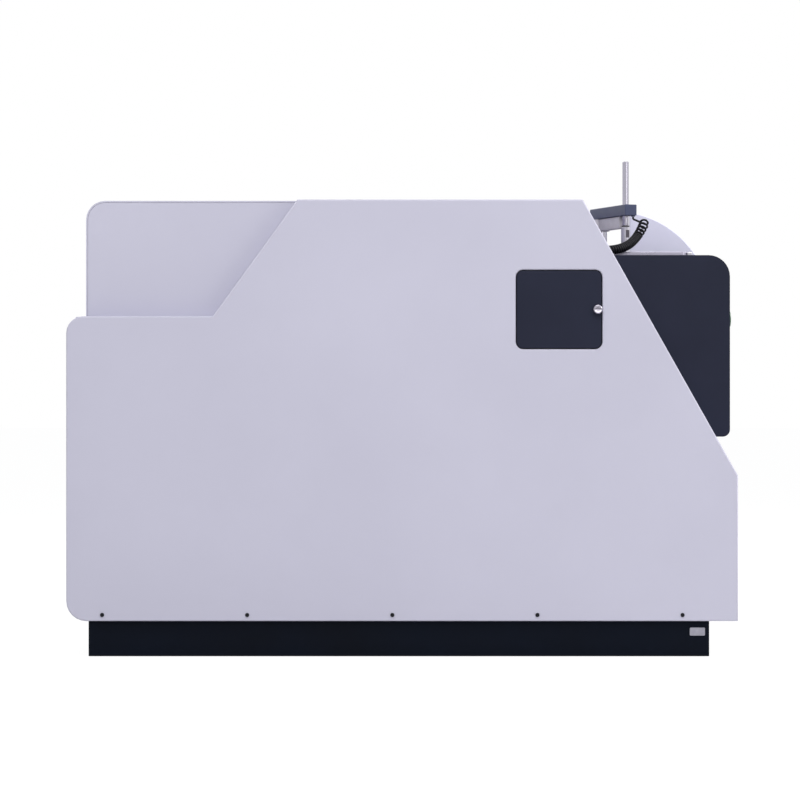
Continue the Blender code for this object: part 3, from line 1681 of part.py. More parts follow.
def optics():
    """Slit, concave grating and detectors on one circle."""
    base = chamber_bottom + chamber_wall + gap
    half = grating_mount_width / 2
    back = grating_x - grating_thickness - gap - grating_mount_depth
    low = (back, -half, base)
    mount = block("grating_mount", low, (back + grating_mount_depth, half, base + grating_mount_height), aluminium())
    bevel = mount.modifiers.new("edges", "BEVEL")
    bevel.width = overrun
    bevel.segments = 1
    steps = 8
    points = []
    reach = grating_size / 2
    for step in range(steps + 1):
        side = reach - 2 * reach * step / steps
        hollow = grating_hollow * (1 - (side / reach) ** 2)
        points.append((grating_x - hollow, side))
    points.append((grating_x - grating_thickness, -reach))
    points.append((grating_x - grating_thickness, reach))
    glass = finish("grating_glass", (0.55, 0.6, 0.7), 0.1, 0.8)
    low = light_z - reach
    prism("concave_grating", points, low, low + grating_size, "Z", glass)
    rail = []
    steps = 16
    inner = rowland_radius + gap + detector_depth
    for radius in (inner, inner + rail_width):
        arc = []
        for step in range(steps + 1):
            angle = rail_first_turn + (rail_last_turn - rail_first_turn) * step / steps
            arc.append((angle, radius))
        if radius == inner:
            arc.reverse()
        rail += arc
    points = [rowland_point(angle, radius - rail_width) for angle, radius in rail]
    rail_top = light_z - detector_height / 2
    rail = prism("detector_rail", points, base, rail_top, "Z", aluminium())
    shape = bmesh.new()
    for index in range(detector_count):
        share = (index + 0.5) / detector_count
        angle = rail_first_turn + (rail_last_turn - rail_first_turn) * share
        inner = rowland_radius - detector_depth / 2
        outer = rowland_radius + detector_depth / 2
        turn = (rail_last_turn - rail_first_turn) / detector_count / 2 * detector_fill_share
        points = [
            rowland_point(angle - turn, inner),
            rowland_point(angle - turn, outer),
            rowland_point(angle + turn, outer),
            rowland_point(angle + turn, inner),
        ]
        grow_prism(shape, points, rail_top - overrun, rail_top + detector_height, "Z")
    join(rail, tool_from(shape, "detectors"))
    slit_angle = math.asin(stand_y / rowland_radius)
    slit_x = grating_x + rowland_radius + rowland_radius * math.cos(slit_angle)
    half = slit_plate / 2
    low = (slit_x, stand_y - half, base)
    high = (slit_x + slit_plate_thickness, stand_y + half, light_z + half)
    slit = block("entrance_slit", low, high, black_plastic())
    opening = bmesh.new()
    narrow = slit_opening / 2
    low = (slit_x - overrun, stand_y - narrow, light_z - half / 2)
    grow_block(opening, low, (slit_x + slit_plate_thickness + overrun, stand_y + narrow, light_z + half / 2))
    cut(slit, tool_from(opening, "slit_opening"))


# Electronics and gas

def spark_source():
    low = (source_x - source_length / 2, source_y - source_width / 2, floor_top + gap)
    high = (source_x + source_length / 2, source_y + source_width / 2, floor_top + gap + source_height)
    body = block("spark_source", low, high, aluminium())
    fins = bmesh.new()
    pitch = source_length / fin_count
    for index in range(fin_count):
        centre = low[0] + pitch * (index + 0.5)
        start = (centre - fin_thickness / 2, low[1] + fin_height, high[2] - overrun)
        grow_block(fins, start, (centre + fin_thickness / 2, high[1] - fin_height, high[2] + fin_height))
    join(body, tool_from(fins, "source_fins"))


def ignition_transformer():
    """Laminated core with its winding between the yokes."""
    base = floor_top + gap
    half = transformer_length / 2
    yoke = transformer_core / 2
    low = (transformer_x - half, transformer_y - yoke, base)
    high = (transformer_x + half, transformer_y + yoke, base + transformer_height)
    body = block("ignition_transformer", low, high, finish("laminations", (0.16, 0.15, 0.15), 0.5, 0.6))
    winding = bmesh.new()
    reach_x = half - yoke
    reach_y = transformer_width / 2
    corners = box_corners(
        transformer_x - reach_x,
        transformer_y - reach_y,
        transformer_x + reach_x,
        transformer_y + reach_y,
        winding_radius,
    )
    grow_prism(winding, rounded(corners), base + yoke, base + transformer_height - yoke, "Z")
    join(body, tool_from(winding, "winding"))


def power_supply():
    low = (supply_x - supply_length / 2, supply_y - supply_width / 2, floor_top + gap)
    high = (supply_x + supply_length / 2, supply_y + supply_width / 2, floor_top + gap + supply_height)
    body = block("power_supply", low, high, zinc())
    vents = bmesh.new()
    pitch = supply_length / fin_count
    for index in range(fin_count):
        centre = low[0] + pitch * (index + 0.5)
        start = (centre - fin_thickness, low[1] + fin_height, high[2] - fin_thickness)
        grow_block(vents, start, (centre + fin_thickness, high[1] - fin_height, high[2] + overrun))
    cut(body, tool_from(vents, "supply_vents"))


def control_boards():
    """Upright cards in a slotted base."""
    base = floor_top + gap
    width = board_pitch * board_count
    low = (board_x - board_length / 2, board_y - width / 2, base)
    high = (board_x + board_length / 2, board_y + width / 2, base + board_rack_height)
    rack = block("control_boards", low, high, finish("board_green", (0.03, 0.16, 0.07), 0.5, 0.0))
    cards = bmesh.new()
    chips = bmesh.new()
    for index in range(board_count):
        centre = board_y + board_pitch * (index + 0.5 - board_count / 2)
        half = board_thickness / 2
        card_low = (board_x - board_length / 2 + overrun, centre - half, base + board_rack_height / 2)
        card_high = (board_x + board_length / 2 - overrun, centre + half, base + board_height)
        grow_block(cards, card_low, card_high)
        for across in (-1, 1):
            for up in (1, 2):
                middle_x = board_x + across * board_length / 4
                middle_z = base + board_height * up / 3
                low = (middle_x - board_chip / 2, centre, middle_z)
                high_y = centre + board_thickness / 2 + board_chip_height
                grow_block(chips, low, (middle_x + board_chip / 2, high_y, middle_z + board_chip))
    join(rack, tool_from(cards, "board_cards"))
    join(rack, tool_from(chips, "board_chips"))


def argon_manifold():
    """Drilled block on the argon fitting's tail, with three solenoid valves on top."""
    low_x = core_rear + sheet + gas_tail + gap
    low = (low_x, gas_y - manifold_width / 2, floor_top + gap)
    high = (low_x + manifold_length, gas_y + manifold_width / 2, floor_top + gap + manifold_height)
    body = block("argon_manifold", low, high, aluminium())
    valves = bmesh.new()
    pitch = manifold_length / valve_count
    for index in range(valve_count):
        spot = (low_x + pitch * (index + 0.5), gas_y, high[2] - overrun)
        grow_turned(valves, rod_profile(valve_radius, valve_height), spot, (0, 0, 1), 16)
    join(body, tool_from(valves, "solenoid_valves"))
    return (high[0] + gap, gas_y, gas_z)


def hose_route(points):
    """Points every two to three diameters on a smooth curve."""
    rough, length = smooth_path(points, 4)
    return smooth_path(points, max(8, int(length / (5 * hose_radius))))[0]


def argon_hose(start):
    """Argon line from the manifold up past the optics to the spark stand."""
    first = Vector(start)
    end = Vector((stand_x + stand_width / 2 + 2 * gap, stand_y, nose_deck - stand_height / 2))
    way = end - first
    route = [first]
    for share in hose_route_shares:
        route.append(first + Vector([part * length for part, length in zip(share, way)]))
    route.append(end + Vector((4 * hose_radius, 0, 0)))
    route.append(end)
    clear = finish("hose_clear", (0.6, 0.65, 0.7), 0.3, 0.0)
    add_tube("argon_hose", hose_route(route), hose_radius, 2, clear)


def build():
    left = side_panel("left_side_panel", -1)
    cut(left, door_opening_tool("door_opening"))
    side_panel("right_side_panel", 1)
    panel_rail("left_panel_rail", -1)
    panel_rail("right_panel_rail", 1)
    wall = inner_wall("inner_left_wall", -1)
    cut(wall, door_opening_tool("inner_wall_opening", service_box_wall + gap))
    inner_wall("inner_right_wall", 1)
    top_cover()
    rear_panel()
    front_lower_panel()
    plinth()
    floor_plate()
    label_plate()
    nose_housing()
    stand_cheek()
    spark_plate()
    stand_body()
    electrode_parts()
    light_tube()
    clamp_column()
    clamp_arm()
    press_rod()
    curly_cord()
    cord_fittings()
    door_frame()
    side_door()
    door_latch()
    filter_cartridge(service_box())
    buttons()
    fan_frame()
    fan_rotor()
    fan_grille()
    power_inlet()
    power_rocker()
    data_port()
    gas_fitting("argon_inlet", gas_y, finish("brass", (0.55, 0.40, 0.16), 0.35, 1.0))
    gas_fitting("exhaust_outlet", gas_y + gas_spacing, steel())
    equipment_frame()
    optical_chamber()
    optics()
    spark_source()
    ignition_transformer()
    power_supply()
    control_boards()
    argon_hose(argon_manifold())


build()
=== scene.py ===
"""Spark optical emission spectrometer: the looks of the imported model."""
import math

import bmesh
import bpy
import numpy as np
from mathutils import Matrix, Vector


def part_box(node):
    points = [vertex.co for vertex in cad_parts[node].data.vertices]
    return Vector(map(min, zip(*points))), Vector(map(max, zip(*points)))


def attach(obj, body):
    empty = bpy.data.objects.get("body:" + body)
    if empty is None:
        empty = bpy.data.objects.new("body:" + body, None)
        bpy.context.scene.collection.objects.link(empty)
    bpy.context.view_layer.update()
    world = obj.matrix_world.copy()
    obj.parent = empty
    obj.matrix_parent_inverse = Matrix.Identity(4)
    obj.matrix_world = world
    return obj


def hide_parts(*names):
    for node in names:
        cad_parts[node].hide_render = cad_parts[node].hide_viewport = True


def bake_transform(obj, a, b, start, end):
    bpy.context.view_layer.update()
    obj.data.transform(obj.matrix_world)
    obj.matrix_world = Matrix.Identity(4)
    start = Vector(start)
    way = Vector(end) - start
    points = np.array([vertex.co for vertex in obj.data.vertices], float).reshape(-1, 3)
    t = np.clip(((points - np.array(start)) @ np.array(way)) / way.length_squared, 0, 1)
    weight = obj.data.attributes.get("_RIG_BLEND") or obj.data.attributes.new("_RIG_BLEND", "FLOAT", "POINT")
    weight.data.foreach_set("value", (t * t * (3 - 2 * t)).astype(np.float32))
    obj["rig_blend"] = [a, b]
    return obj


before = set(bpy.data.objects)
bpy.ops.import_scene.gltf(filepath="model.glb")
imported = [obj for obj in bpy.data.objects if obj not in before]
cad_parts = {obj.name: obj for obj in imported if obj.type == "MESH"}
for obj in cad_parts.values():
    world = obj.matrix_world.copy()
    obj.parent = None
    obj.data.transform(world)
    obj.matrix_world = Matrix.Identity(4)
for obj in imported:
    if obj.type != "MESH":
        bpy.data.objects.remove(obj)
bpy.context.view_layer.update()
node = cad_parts

# Camera, floor and lamps: the photograph looks square on at the left side, from
# 3.7 m off and a little above the middle, in plain soft light on a white ground.
scene = bpy.context.scene
scene.view_settings.view_transform = "Standard"
camera = bpy.data.objects.new("camera", bpy.data.cameras.new("camera"))
scene.collection.objects.link(camera)
scene.camera = camera
camera.location = (-0.0026, -3.980, 0.3212)
camera.rotation_euler = (math.radians(90), 0, 0)
camera.data.sensor_width = 36
camera.data.lens = 133.2
camera.data.clip_start = 0.05
camera.data.clip_end = 60

world = bpy.data.worlds.new("studio")
scene.world = world
world.use_nodes = True
room = world.node_tree
room.nodes.clear()
ways = room.nodes.new("ShaderNodeLightPath")
seen = room.nodes.new("ShaderNodeMath")
seen.operation = "MAXIMUM"
mirrored = room.nodes.new("ShaderNodeMath")
mirrored.operation = "MAXIMUM"
soft_light = room.nodes.new("ShaderNodeBackground")
soft_light.inputs["Color"].default_value = (0.93, 0.95, 1.0, 1)
soft_light.inputs["Strength"].default_value = 0.40
white_ground = room.nodes.new("ShaderNodeBackground")
white_ground.inputs["Color"].default_value = (1, 1, 1, 1)
white_ground.inputs["Strength"].default_value = 1.0
either = room.nodes.new("ShaderNodeMixShader")
sky = room.nodes.new("ShaderNodeOutputWorld")
room.links.new(ways.outputs["Is Camera Ray"], seen.inputs[0])
room.links.new(ways.outputs["Is Glossy Ray"], seen.inputs[1])
room.links.new(seen.outputs[0], mirrored.inputs[0])
room.links.new(ways.outputs["Is Transmission Ray"], mirrored.inputs[1])
room.links.new(mirrored.outputs[0], either.inputs["Fac"])
room.links.new(soft_light.outputs[0], either.inputs[1])
room.links.new(white_ground.outputs[0], either.inputs[2])
room.links.new(either.outputs[0], sky.inputs["Surface"])


def hang_lamp(name, place, target, size, watts):
    """A square soft box that looks at its target."""
    lamp = bpy.data.lights.new(name, "AREA")
    lamp.shape = "SQUARE"
    lamp.size = size
    lamp.energy = watts
    lamp.color = (1.0, 0.985, 0.97)
    hung = bpy.data.objects.new(name, lamp)
    scene.collection.objects.link(hung)
    hung.location = place
    hung.rotation_euler = (Vector(target) - Vector(place)).to_track_quat("-Z", "Y").to_euler()


hang_lamp("key_lamp", (0.7, -2.9, 2.3), (0.05, 0, 0.35), 2.0, 34)
hang_lamp("fill_lamp", (-1.4, -3.0, 2.3), (0, 0, 0.3), 1.8, 12)
hang_lamp("top_lamp", (0.1, -1.1, 2.9), (0, -0.1, 0.4), 2.2, 34)
hang_lamp("strip_lamp", (2.3, -2.4, 0.9), (0.2, 0, 0.4), 1.0, 7.5)
hang_lamp("back_lamp", (-1.6, 2.6, 2.0), (0, 0, 0.3), 1.8, 30)
hang_lamp("front_lamp", (2.8, 0.2, 1.9), (0.2, 0, 0.4), 1.4, 55)

bpy.ops.object.select_all(action="DESELECT")
bpy.ops.mesh.primitive_plane_add(size=60, location=(0, 0, -0.0006))
floor = bpy.context.object
floor.name = "pale_floor"
floor_finish = bpy.data.materials.new("pale_floor")
floor_finish.use_nodes = True
ground = floor_finish.node_tree
ground.nodes.clear()
floor_ways = ground.nodes.new("ShaderNodeLightPath")
floor_lit = ground.nodes.new("ShaderNodeBsdfDiffuse")
floor_lit.inputs["Color"].default_value = (0.7, 0.7, 0.7, 1)
floor_white = ground.nodes.new("ShaderNodeEmission")
floor_white.inputs["Strength"].default_value = 1.12
floor_share = ground.nodes.new("ShaderNodeMath")
floor_share.operation = "MULTIPLY"
floor_share.inputs[1].default_value = 0.85
floor_mix = ground.nodes.new("ShaderNodeMixShader")
floor_out = ground.nodes.new("ShaderNodeOutputMaterial")
ground.links.new(floor_ways.outputs["Is Camera Ray"], floor_share.inputs[0])
ground.links.new(floor_share.outputs[0], floor_mix.inputs["Fac"])
ground.links.new(floor_lit.outputs[0], floor_mix.inputs[1])
ground.links.new(floor_white.outputs[0], floor_mix.inputs[2])
ground.links.new(floor_mix.outputs[0], floor_out.inputs["Surface"])
floor.data.materials.append(floor_finish)


# Curly cord: a thin black polyurethane lead wound on a mandrel, plugged in beside
# the stand and led up in an open loop to the underside of the clamp's arm.
def finish(name, colour, roughness, metallic=0.0, **sockets):
    """A new material with its plain values set on the shader's own sockets."""
    material = bpy.data.materials.new(name)
    material.use_nodes = True
    shader = material.node_tree.nodes["Principled BSDF"]
    shader.inputs["Base Color"].default_value = (*colour, 1)
    shader.inputs["Roughness"].default_value = roughness
    shader.inputs["Metallic"].default_value = metallic
    for socket, value in sockets.items():
        shader.inputs[socket.replace("_", " ")].default_value = value
    return material


def add_grain(material, size, depth, stretch=(1, 1, 1), centre=(0, 0, 0), detail=3.0):
    """Fine surface relief from noise, its grains size metres wide and depth deep."""
    tree = material.node_tree
    place = tree.nodes.new("ShaderNodeTexCoord")
    fit = tree.nodes.new("ShaderNodeMapping")
    fit.inputs["Location"].default_value = [-c * s for c, s in zip(centre, stretch)]
    fit.inputs["Scale"].default_value = stretch
    noise = tree.nodes.new("ShaderNodeTexNoise")
    noise.inputs["Scale"].default_value = 1 / size
    noise.inputs["Detail"].default_value = detail
    relief = tree.nodes.new("ShaderNodeBump")
    relief.inputs["Distance"].default_value = depth
    relief.inputs["Strength"].default_value = 1.0
    tree.links.new(place.outputs["Object"], fit.inputs["Vector"])
    tree.links.new(fit.outputs[0], noise.inputs["Vector"])
    tree.links.new(noise.outputs["Fac"], relief.inputs["Height"])
    shader = tree.nodes["Principled BSDF"]
    if shader.inputs["Normal"].is_linked:
        earlier = shader.inputs["Normal"].links[0].from_node
        tree.links.new(earlier.outputs[0], relief.inputs["Normal"])
    tree.links.new(relief.outputs[0], shader.inputs["Normal"])
    return material


def add_mottle(material, size, dark, pale, rough_low, rough_high, stretch=(1, 1, 1)):
    """Slow changes of colour and gloss across the surface, size metres wide."""
    tree = material.node_tree
    place = tree.nodes.new("ShaderNodeTexCoord")
    fit = tree.nodes.new("ShaderNodeMapping")
    fit.inputs["Scale"].default_value = stretch
    noise = tree.nodes.new("ShaderNodeTexNoise")
    noise.inputs["Scale"].default_value = 1 / size
    noise.inputs["Detail"].default_value = 4
    tint = tree.nodes.new("ShaderNodeMapRange")
    tint.inputs["From Min"].default_value = 0.3
    tint.inputs["From Max"].default_value = 0.7
    blend = tree.nodes.new("ShaderNodeMix")
    blend.data_type = "RGBA"
    dark_socket, pale_socket, blended = blend.inputs[6], blend.inputs[7], blend.outputs[2]
    gloss = tree.nodes.new("ShaderNodeMapRange")
    gloss.inputs["From Min"].default_value = 0.3
    gloss.inputs["From Max"].default_value = 0.7
    gloss.inputs["To Min"].default_value = rough_low
    gloss.inputs["To Max"].default_value = rough_high
    dark_socket.default_value = (*dark, 1)
    pale_socket.default_value = (*pale, 1)
    tree.links.new(place.outputs["Object"], fit.inputs["Vector"])
    tree.links.new(fit.outputs[0], noise.inputs["Vector"])
    tree.links.new(noise.outputs["Fac"], tint.inputs["Value"])
    tree.links.new(tint.outputs["Result"], blend.inputs["Factor"])
    tree.links.new(noise.outputs["Fac"], gloss.inputs["Value"])
    shader = tree.nodes["Principled BSDF"]
    tree.links.new(blended, shader.inputs["Base Color"])
    tree.links.new(gloss.outputs["Result"], shader.inputs["Roughness"])
    return material


def shaded(colour, share):
    """A colour made lighter or darker by a share."""
    return tuple(part * share for part in colour)


def even_path(points, pieces):
    """Evenly spaced points on a smooth curve through the given ones."""
    spots = [Vector(point) for point in points]
    slices = 24
    fine = []
    for index in range(len(spots) - 1):
        before = spots[max(index - 1, 0)]
        after = spots[min(index + 2, len(spots) - 1)]
        here, there = spots[index], spots[index + 1]
        for step in range(slices):
            t = step / slices
            fine.append(
                here * (2 * t ** 3 - 3 * t ** 2 + 1)
                + (there - before) / 2 * (t ** 3 - 2 * t ** 2 + t)
                + there * (3 * t ** 2 - 2 * t ** 3)
                + (after - here) / 2 * (t ** 3 - t ** 2)
            )
    fine.append(spots[-1])
    runs = np.cumsum([0] + [(b - a).length for a, b in zip(fine, fine[1:])])
    cloud = np.array([tuple(point) for point in fine])
    wanted = np.linspace(0, runs[-1], pieces + 1)
    return [Vector([np.interp(w, runs, cloud[:, axis]) for axis in range(3)]) for w in wanted]


def sweep_tube(name, points, radius, sides):
    """A closed round tube along its points, with u round it and v along it in metres."""
    shape = bmesh.new()
    wrap = shape.loops.layers.uv.new("wrap")
    heading = (points[1] - points[0]).normalized()
    side = heading.orthogonal().normalized()
    rings, along = [], [0.0]
    for index, point in enumerate(points):
        ahead = points[min(index + 1, len(points) - 1)]
        behind = points[max(index - 1, 0)]
        heading = (ahead - behind).normalized()
        side = (side - heading * side.dot(heading)).normalized()
        other = heading.cross(side)
        turns = [2 * math.pi * step / sides for step in range(sides)]
        rings.append([
            shape.verts.new(point + side * (radius * math.cos(a)) + other * (radius * math.sin(a)))
            for a in turns
        ])
        if index:
            along.append(along[-1] + (point - behind).length)
    for index in range(len(rings) - 1):
        for step in range(sides):
            after = (step + 1) % sides
            ring, further = rings[index], rings[index + 1]
            face = shape.faces.new((ring[step], ring[after], further[after], further[step]))
            face.smooth = True
            across = (step, step + 1, step + 1, step)
            up = (along[index], along[index], along[index + 1], along[index + 1])
            for loop, u, v in zip(face.loops, across, up):
                loop[wrap].uv = (u / sides, v)
    shape.faces.new(list(reversed(rings[0])))
    shape.faces.new(rings[-1])
    mesh = bpy.data.meshes.new(name)
    shape.to_mesh(mesh)
    shape.free()
    tube = bpy.data.objects.new(name, mesh)
    scene.collection.objects.link(tube)
    return tube


spark_x, spark_y, deck = 0.2890, -0.1532, 0.5037
plug_y, plug_z = -0.2320, 0.5106


def by_arm(across, out, up):
    """A place beside the spark, in shares of the arm's height over the deck."""
    arm_rise = 0.0553
    return Vector((spark_x, spark_y, deck)) + Vector((across, out, up)) * arm_rise


def cord_line(points_per_curl):
    """The cord's own line: straight out of the plug, round the coil, up into the arm."""
    start = Vector((0.2529, plug_y, plug_z))
    reach = start + Vector((0.0280, 0, 0))
    handle = by_arm(0.1537, -0.9277, 0.2586)
    loop = by_arm(0.4376, -0.2857, 0.8734)
    samples = 2400
    axis = []
    for step in range(samples + 1):
        t = step / samples
        axis.append(
            start * (1 - t) ** 3 + reach * (3 * t * (1 - t) ** 2)
            + handle * (3 * t * t * (1 - t)) + loop * t ** 3
        )
    steps = [(b - a).length for a, b in zip(axis, axis[1:])]
    length = sum(steps)
    lead, open_run = 0.0052, 0.040
    coil_radius, loop_radius = 0.0048, 0.0056
    tight_pitch, open_pitch = 0.0031, 0.0070
    side = Vector((0, 1, 0))
    points = [axis[0], axis[0] + (axis[1] - axis[0]).normalized() * (lead / 2)]
    phase = wanted = 5.6
    travelled = 0
    for index in range(1, samples):
        travelled += steps[index - 1]
        tangent = (axis[index + 1] - axis[index - 1]).normalized()
        side = (side - tangent * side.dot(tangent)).normalized()
        if travelled < lead:
            continue
        opened = min(max((travelled - length) / open_run + 1, 0), 1)
        pitch = tight_pitch + (open_pitch - tight_pitch) * min(4 * opened, 1)
        phase += 2 * math.pi * steps[index - 1] / pitch
        if phase < wanted:
            continue
        wanted += 2 * math.pi / points_per_curl
        full = coil_radius + (loop_radius - coil_radius) * opened
        radius = full * min(1, (travelled - lead) / 0.001)
        other = tangent.cross(side)
        points.append(
            axis[index] + side * (radius * math.cos(phase)) + other * (radius * math.sin(phase))
        )
    points.append(by_arm(0.3219, -0.2532, 0.8011))
    points.append(by_arm(0.2387, -0.2315, 0.8734))
    points.append(cord_top + Vector((0, 0, -0.0026)))
    points.append(cord_top)
    return points


along_arm = Vector((0.33299, -0.94293, 0))
across_arm = Vector((0.94293, 0.33299, 0))
column_foot = Vector((0.26070, -0.07305, 0))
cord_top = column_foot + along_arm * 0.0980 + across_arm * 0.0050 + Vector((0, 0, 0.5572))
cord_route = cord_line(18)
cord_points = len(cord_route)
for first, last in ((2, 12), (cord_points - 16, cord_points - 2)):
    # the kinks where the coil begins and ends are eased
    for easing in range(6):
        for index in range(first, last):
            before, here, after = cord_route[index - 1:index + 2]
            cord_route[index] = (before + here * 2 + after) / 4
cord_route = even_path(cord_route, cord_points)
cord_sides = 12
curly_cord = sweep_tube("curly_lead", cord_route, 0.0013, cord_sides)
cord_skin = finish("cord_polyurethane", (0.0070, 0.0070, 0.0105), 0.42, Specular_IOR_Level=0.16)
add_mottle(cord_skin, 0.004, (0.0058, 0.0058, 0.0090), (0.0085, 0.0085, 0.0125), 0.36, 0.50)
add_grain(cord_skin, 0.0005, 0.00002)
curly_cord.data.materials.append(cord_skin)
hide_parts("curly_cord")
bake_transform(curly_cord, "root", "clamp_arm", start=tuple(cord_route[0]), end=tuple(cord_route[-1]))
shares = curly_cord.data.attributes["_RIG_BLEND"].data
for first in range(0, len(shares), cord_sides):
    # one share round each ring, so that the lead stays round when the coil is drawn out
    ring_shares = shares[first:first + cord_sides]
    middle_share = sum(point.value for point in ring_shares) / cord_sides
    for point in ring_shares:
        point.value = middle_share


# Plug of the cord: a moulded sleeve turned down to the cord, with grip rings, in the
# hexagonal socket that is screwed through the bay's wall.
def clear_selection():
    """Nothing is left selected for the next operator to act on."""
    bpy.ops.object.select_all(action="DESELECT")


def turn_piece(name, profile, base, way=(0, 0, 1), steps=32):
    """A piece turned on a lathe: a ring of (radius, height) corners spun about its axis."""
    clear_selection()
    bpy.ops.mesh.primitive_circle_add(vertices=len(profile), location=(0, 0, 0))
    piece = bpy.context.object
    piece.name = name
    for corner, (radius, height) in zip(piece.data.vertices, profile):
        corner.co = (radius, 0, height)
    bpy.ops.object.mode_set(mode="EDIT")
    if profile[0][0] == 0 and profile[-1][0] == 0:
        choose(piece, "edges", lambda edge: all(corner.co.x == 0 for corner in edge.verts))
        bpy.ops.mesh.delete(type="EDGE")
    bpy.ops.mesh.select_all(action="SELECT")
    bpy.ops.mesh.spin(steps=steps, angle=2 * math.pi, center=(0, 0, 0), axis=(0, 0, 1))
    bpy.ops.mesh.select_all(action="SELECT")
    bpy.ops.mesh.remove_doubles(threshold=0.000002)
    bpy.ops.mesh.normals_make_consistent(inside=False)
    bpy.ops.object.mode_set(mode="OBJECT")
    turn = Vector((0, 0, 1)).rotation_difference(Vector(way)).to_matrix().to_4x4()
    piece.data.transform(Matrix.Translation(base) @ turn)
    shade(piece)
    return piece


def choose(piece, kind, test):
    """In edit mode, selects only the verts, edges or faces that pass a test."""
    modes = ("verts", "edges", "faces")
    bpy.context.tool_settings.mesh_select_mode = [kind == mode for mode in modes]
    bpy.ops.mesh.select_all(action="DESELECT")
    shape = bmesh.from_edit_mesh(piece.data)
    for part in getattr(shape, kind):
        if test(part):
            part.select_set(True)
    bmesh.update_edit_mesh(piece.data)


def shade(piece, angle=35):
    """Smooth across small angles, with the flats kept flat."""
    clear_selection()
    piece.select_set(True)
    bpy.context.view_layer.objects.active = piece
    bpy.ops.object.shade_smooth_by_angle(angle=math.radians(angle))
    piece.modifiers.new("flats", "WEIGHTED_NORMAL").keep_sharp = True
    bpy.ops.object.modifier_apply(modifier="flats")


def dress(piece, material, body):
    """Gives a finished piece its material and its body."""
    piece.data.materials.clear()
    piece.data.materials.append(material)
    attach(piece, body)
    return piece


moulding = finish("black_moulding", (0.0105, 0.0105, 0.0130), 0.42, Specular_IOR_Level=0.35)
add_mottle(moulding, 0.02, (0.0085, 0.0085, 0.0108), (0.0130, 0.0130, 0.0158), 0.36, 0.50)
add_grain(moulding, 0.0006, 0.00003)
plug_radius, first_grip, grip_gap = 0.0058, 0.0030, 0.0022
grips = []
for ring in range(5):
    foot = first_grip + ring * grip_gap
    grips += [(plug_radius, foot), (plug_radius - 0.0006, foot + 0.0005),
              (plug_radius - 0.0006, foot + 0.0011), (plug_radius, foot + 0.0016)]
plug_profile = [
    (0, 0), (plug_radius - 0.0005, 0), (plug_radius, 0.0005), *grips,
    (plug_radius, 0.0152), (0.0046, 0.0168), (0.0036, 0.0182), (0.0024, 0.0196),
    (0.0016, 0.0200), (0, 0.0200),
]
cord_plug = turn_piece("cord_plug_sleeve", plug_profile, (0.2326, plug_y, plug_z), (1, 0, 0), 36)
dress(cord_plug, moulding, "root")
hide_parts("cord_plug")

# Argon hose: soft clear polyurethane tube pushed on the manifold's nozzle, led up past the
# optics' shelf to the front of the spark stand.
hose_start = Vector((-0.2694, -0.0600, 0.0690))
hose_end = Vector((0.3296, spark_y, 0.4717))
hose_way = hose_end - hose_start
hose_spots = [hose_start]
for share in (
    (0.0301, 0.0, 0.0), (0.1492, -0.1609, 0.0397), (0.2244, -0.4828, 0.2756),
    (0.3663, -0.5365, 0.5488), (0.5833, -0.4292, 0.6978), (0.8170, -0.1073, 0.7524),
    (1.0007, 0.4292, 0.8095), (1.0708, 0.8798, 0.9337),
):
    # each bend's place, in shares of the way from the manifold to the stand
    hose_spots.append(hose_start + Vector([a * b for a, b in zip(share, hose_way)]))
hose_spots += [hose_end + Vector((0.016, 0, 0)), hose_end]
hose_route = even_path(hose_spots, 90)
argon_hose = sweep_tube("argon_line", hose_route, 0.004, 14)
hose_clear = finish("hose_polyurethane", (0.52, 0.58, 0.66), 0.22, Transmission_Weight=0.35, IOR=1.5)
add_mottle(hose_clear, 0.03, (0.47, 0.53, 0.61), (0.56, 0.62, 0.70), 0.18, 0.30)
add_grain(hose_clear, 0.004, 0.00005)
dress(argon_hose, hose_clear, "root")
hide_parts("argon_hose")


# Plinth: one welded frame of folded steel troughs under the casing, sprayed matt
# black, with a bare aluminium foil plate stuck to its left side near the front.
crisp = math.radians(32)


def soft_copy(source, width, wanted=None, steps=2, shortest=0.002):
    """A merged copy of a CAD piece with its long sharp edges rounded off; it replaces the node."""
    clear_selection()
    piece = node[source].copy()
    piece.data = node[source].data.copy()
    piece.parent = None
    piece.name = source + "_made"
    for key in list(piece.keys()):
        del piece[key]
    scene.collection.objects.link(piece)
    piece.select_set(True)
    bpy.context.view_layer.objects.active = piece
    if piece.data.has_custom_normals:
        bpy.ops.mesh.customdata_custom_splitnormals_clear()
    bpy.ops.object.mode_set(mode="EDIT")
    bpy.ops.mesh.select_all(action="SELECT")
    bpy.ops.mesh.remove_doubles(threshold=0.00001)
    bpy.ops.mesh.select_all(action="SELECT")
    bpy.ops.mesh.dissolve_limited(angle_limit=math.radians(1.0))

    def sharp(edge):
        if len(edge.link_faces) != 2 or edge.calc_length() < shortest:
            return False
        if edge.calc_face_angle() < crisp:
            return False
        return wanted is None or wanted(edge)

    if width:
        choose(piece, "edges", sharp)
        bpy.ops.mesh.bevel(offset=width, segments=steps, affect="EDGES", clamp_overlap=True)
    bpy.ops.object.mode_set(mode="OBJECT")
    shade(piece)
    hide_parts(source)
    return piece


plinth_black = finish("plinth_black", (0.0032, 0.0050, 0.0105), 0.5, Specular_IOR_Level=0.06)
add_mottle(plinth_black, 0.12, (0.0030, 0.0044, 0.0085), (0.0036, 0.0060, 0.0130), 0.44, 0.58)
add_grain(plinth_black, 0.0009, 0.00003)
dress(soft_copy("plinth", 0.0008), plinth_black, "root")
foil = finish("plate_foil", (0.34, 0.335, 0.40), 0.38, 0.35)
add_mottle(foil, 0.006, (0.31, 0.305, 0.365), (0.38, 0.375, 0.44), 0.32, 0.46)
add_grain(foil, 0.0004, 0.00001, stretch=(1, 1, 12))
dress(soft_copy("label_plate", 0.0002, shortest=0.0002), foil, "root")

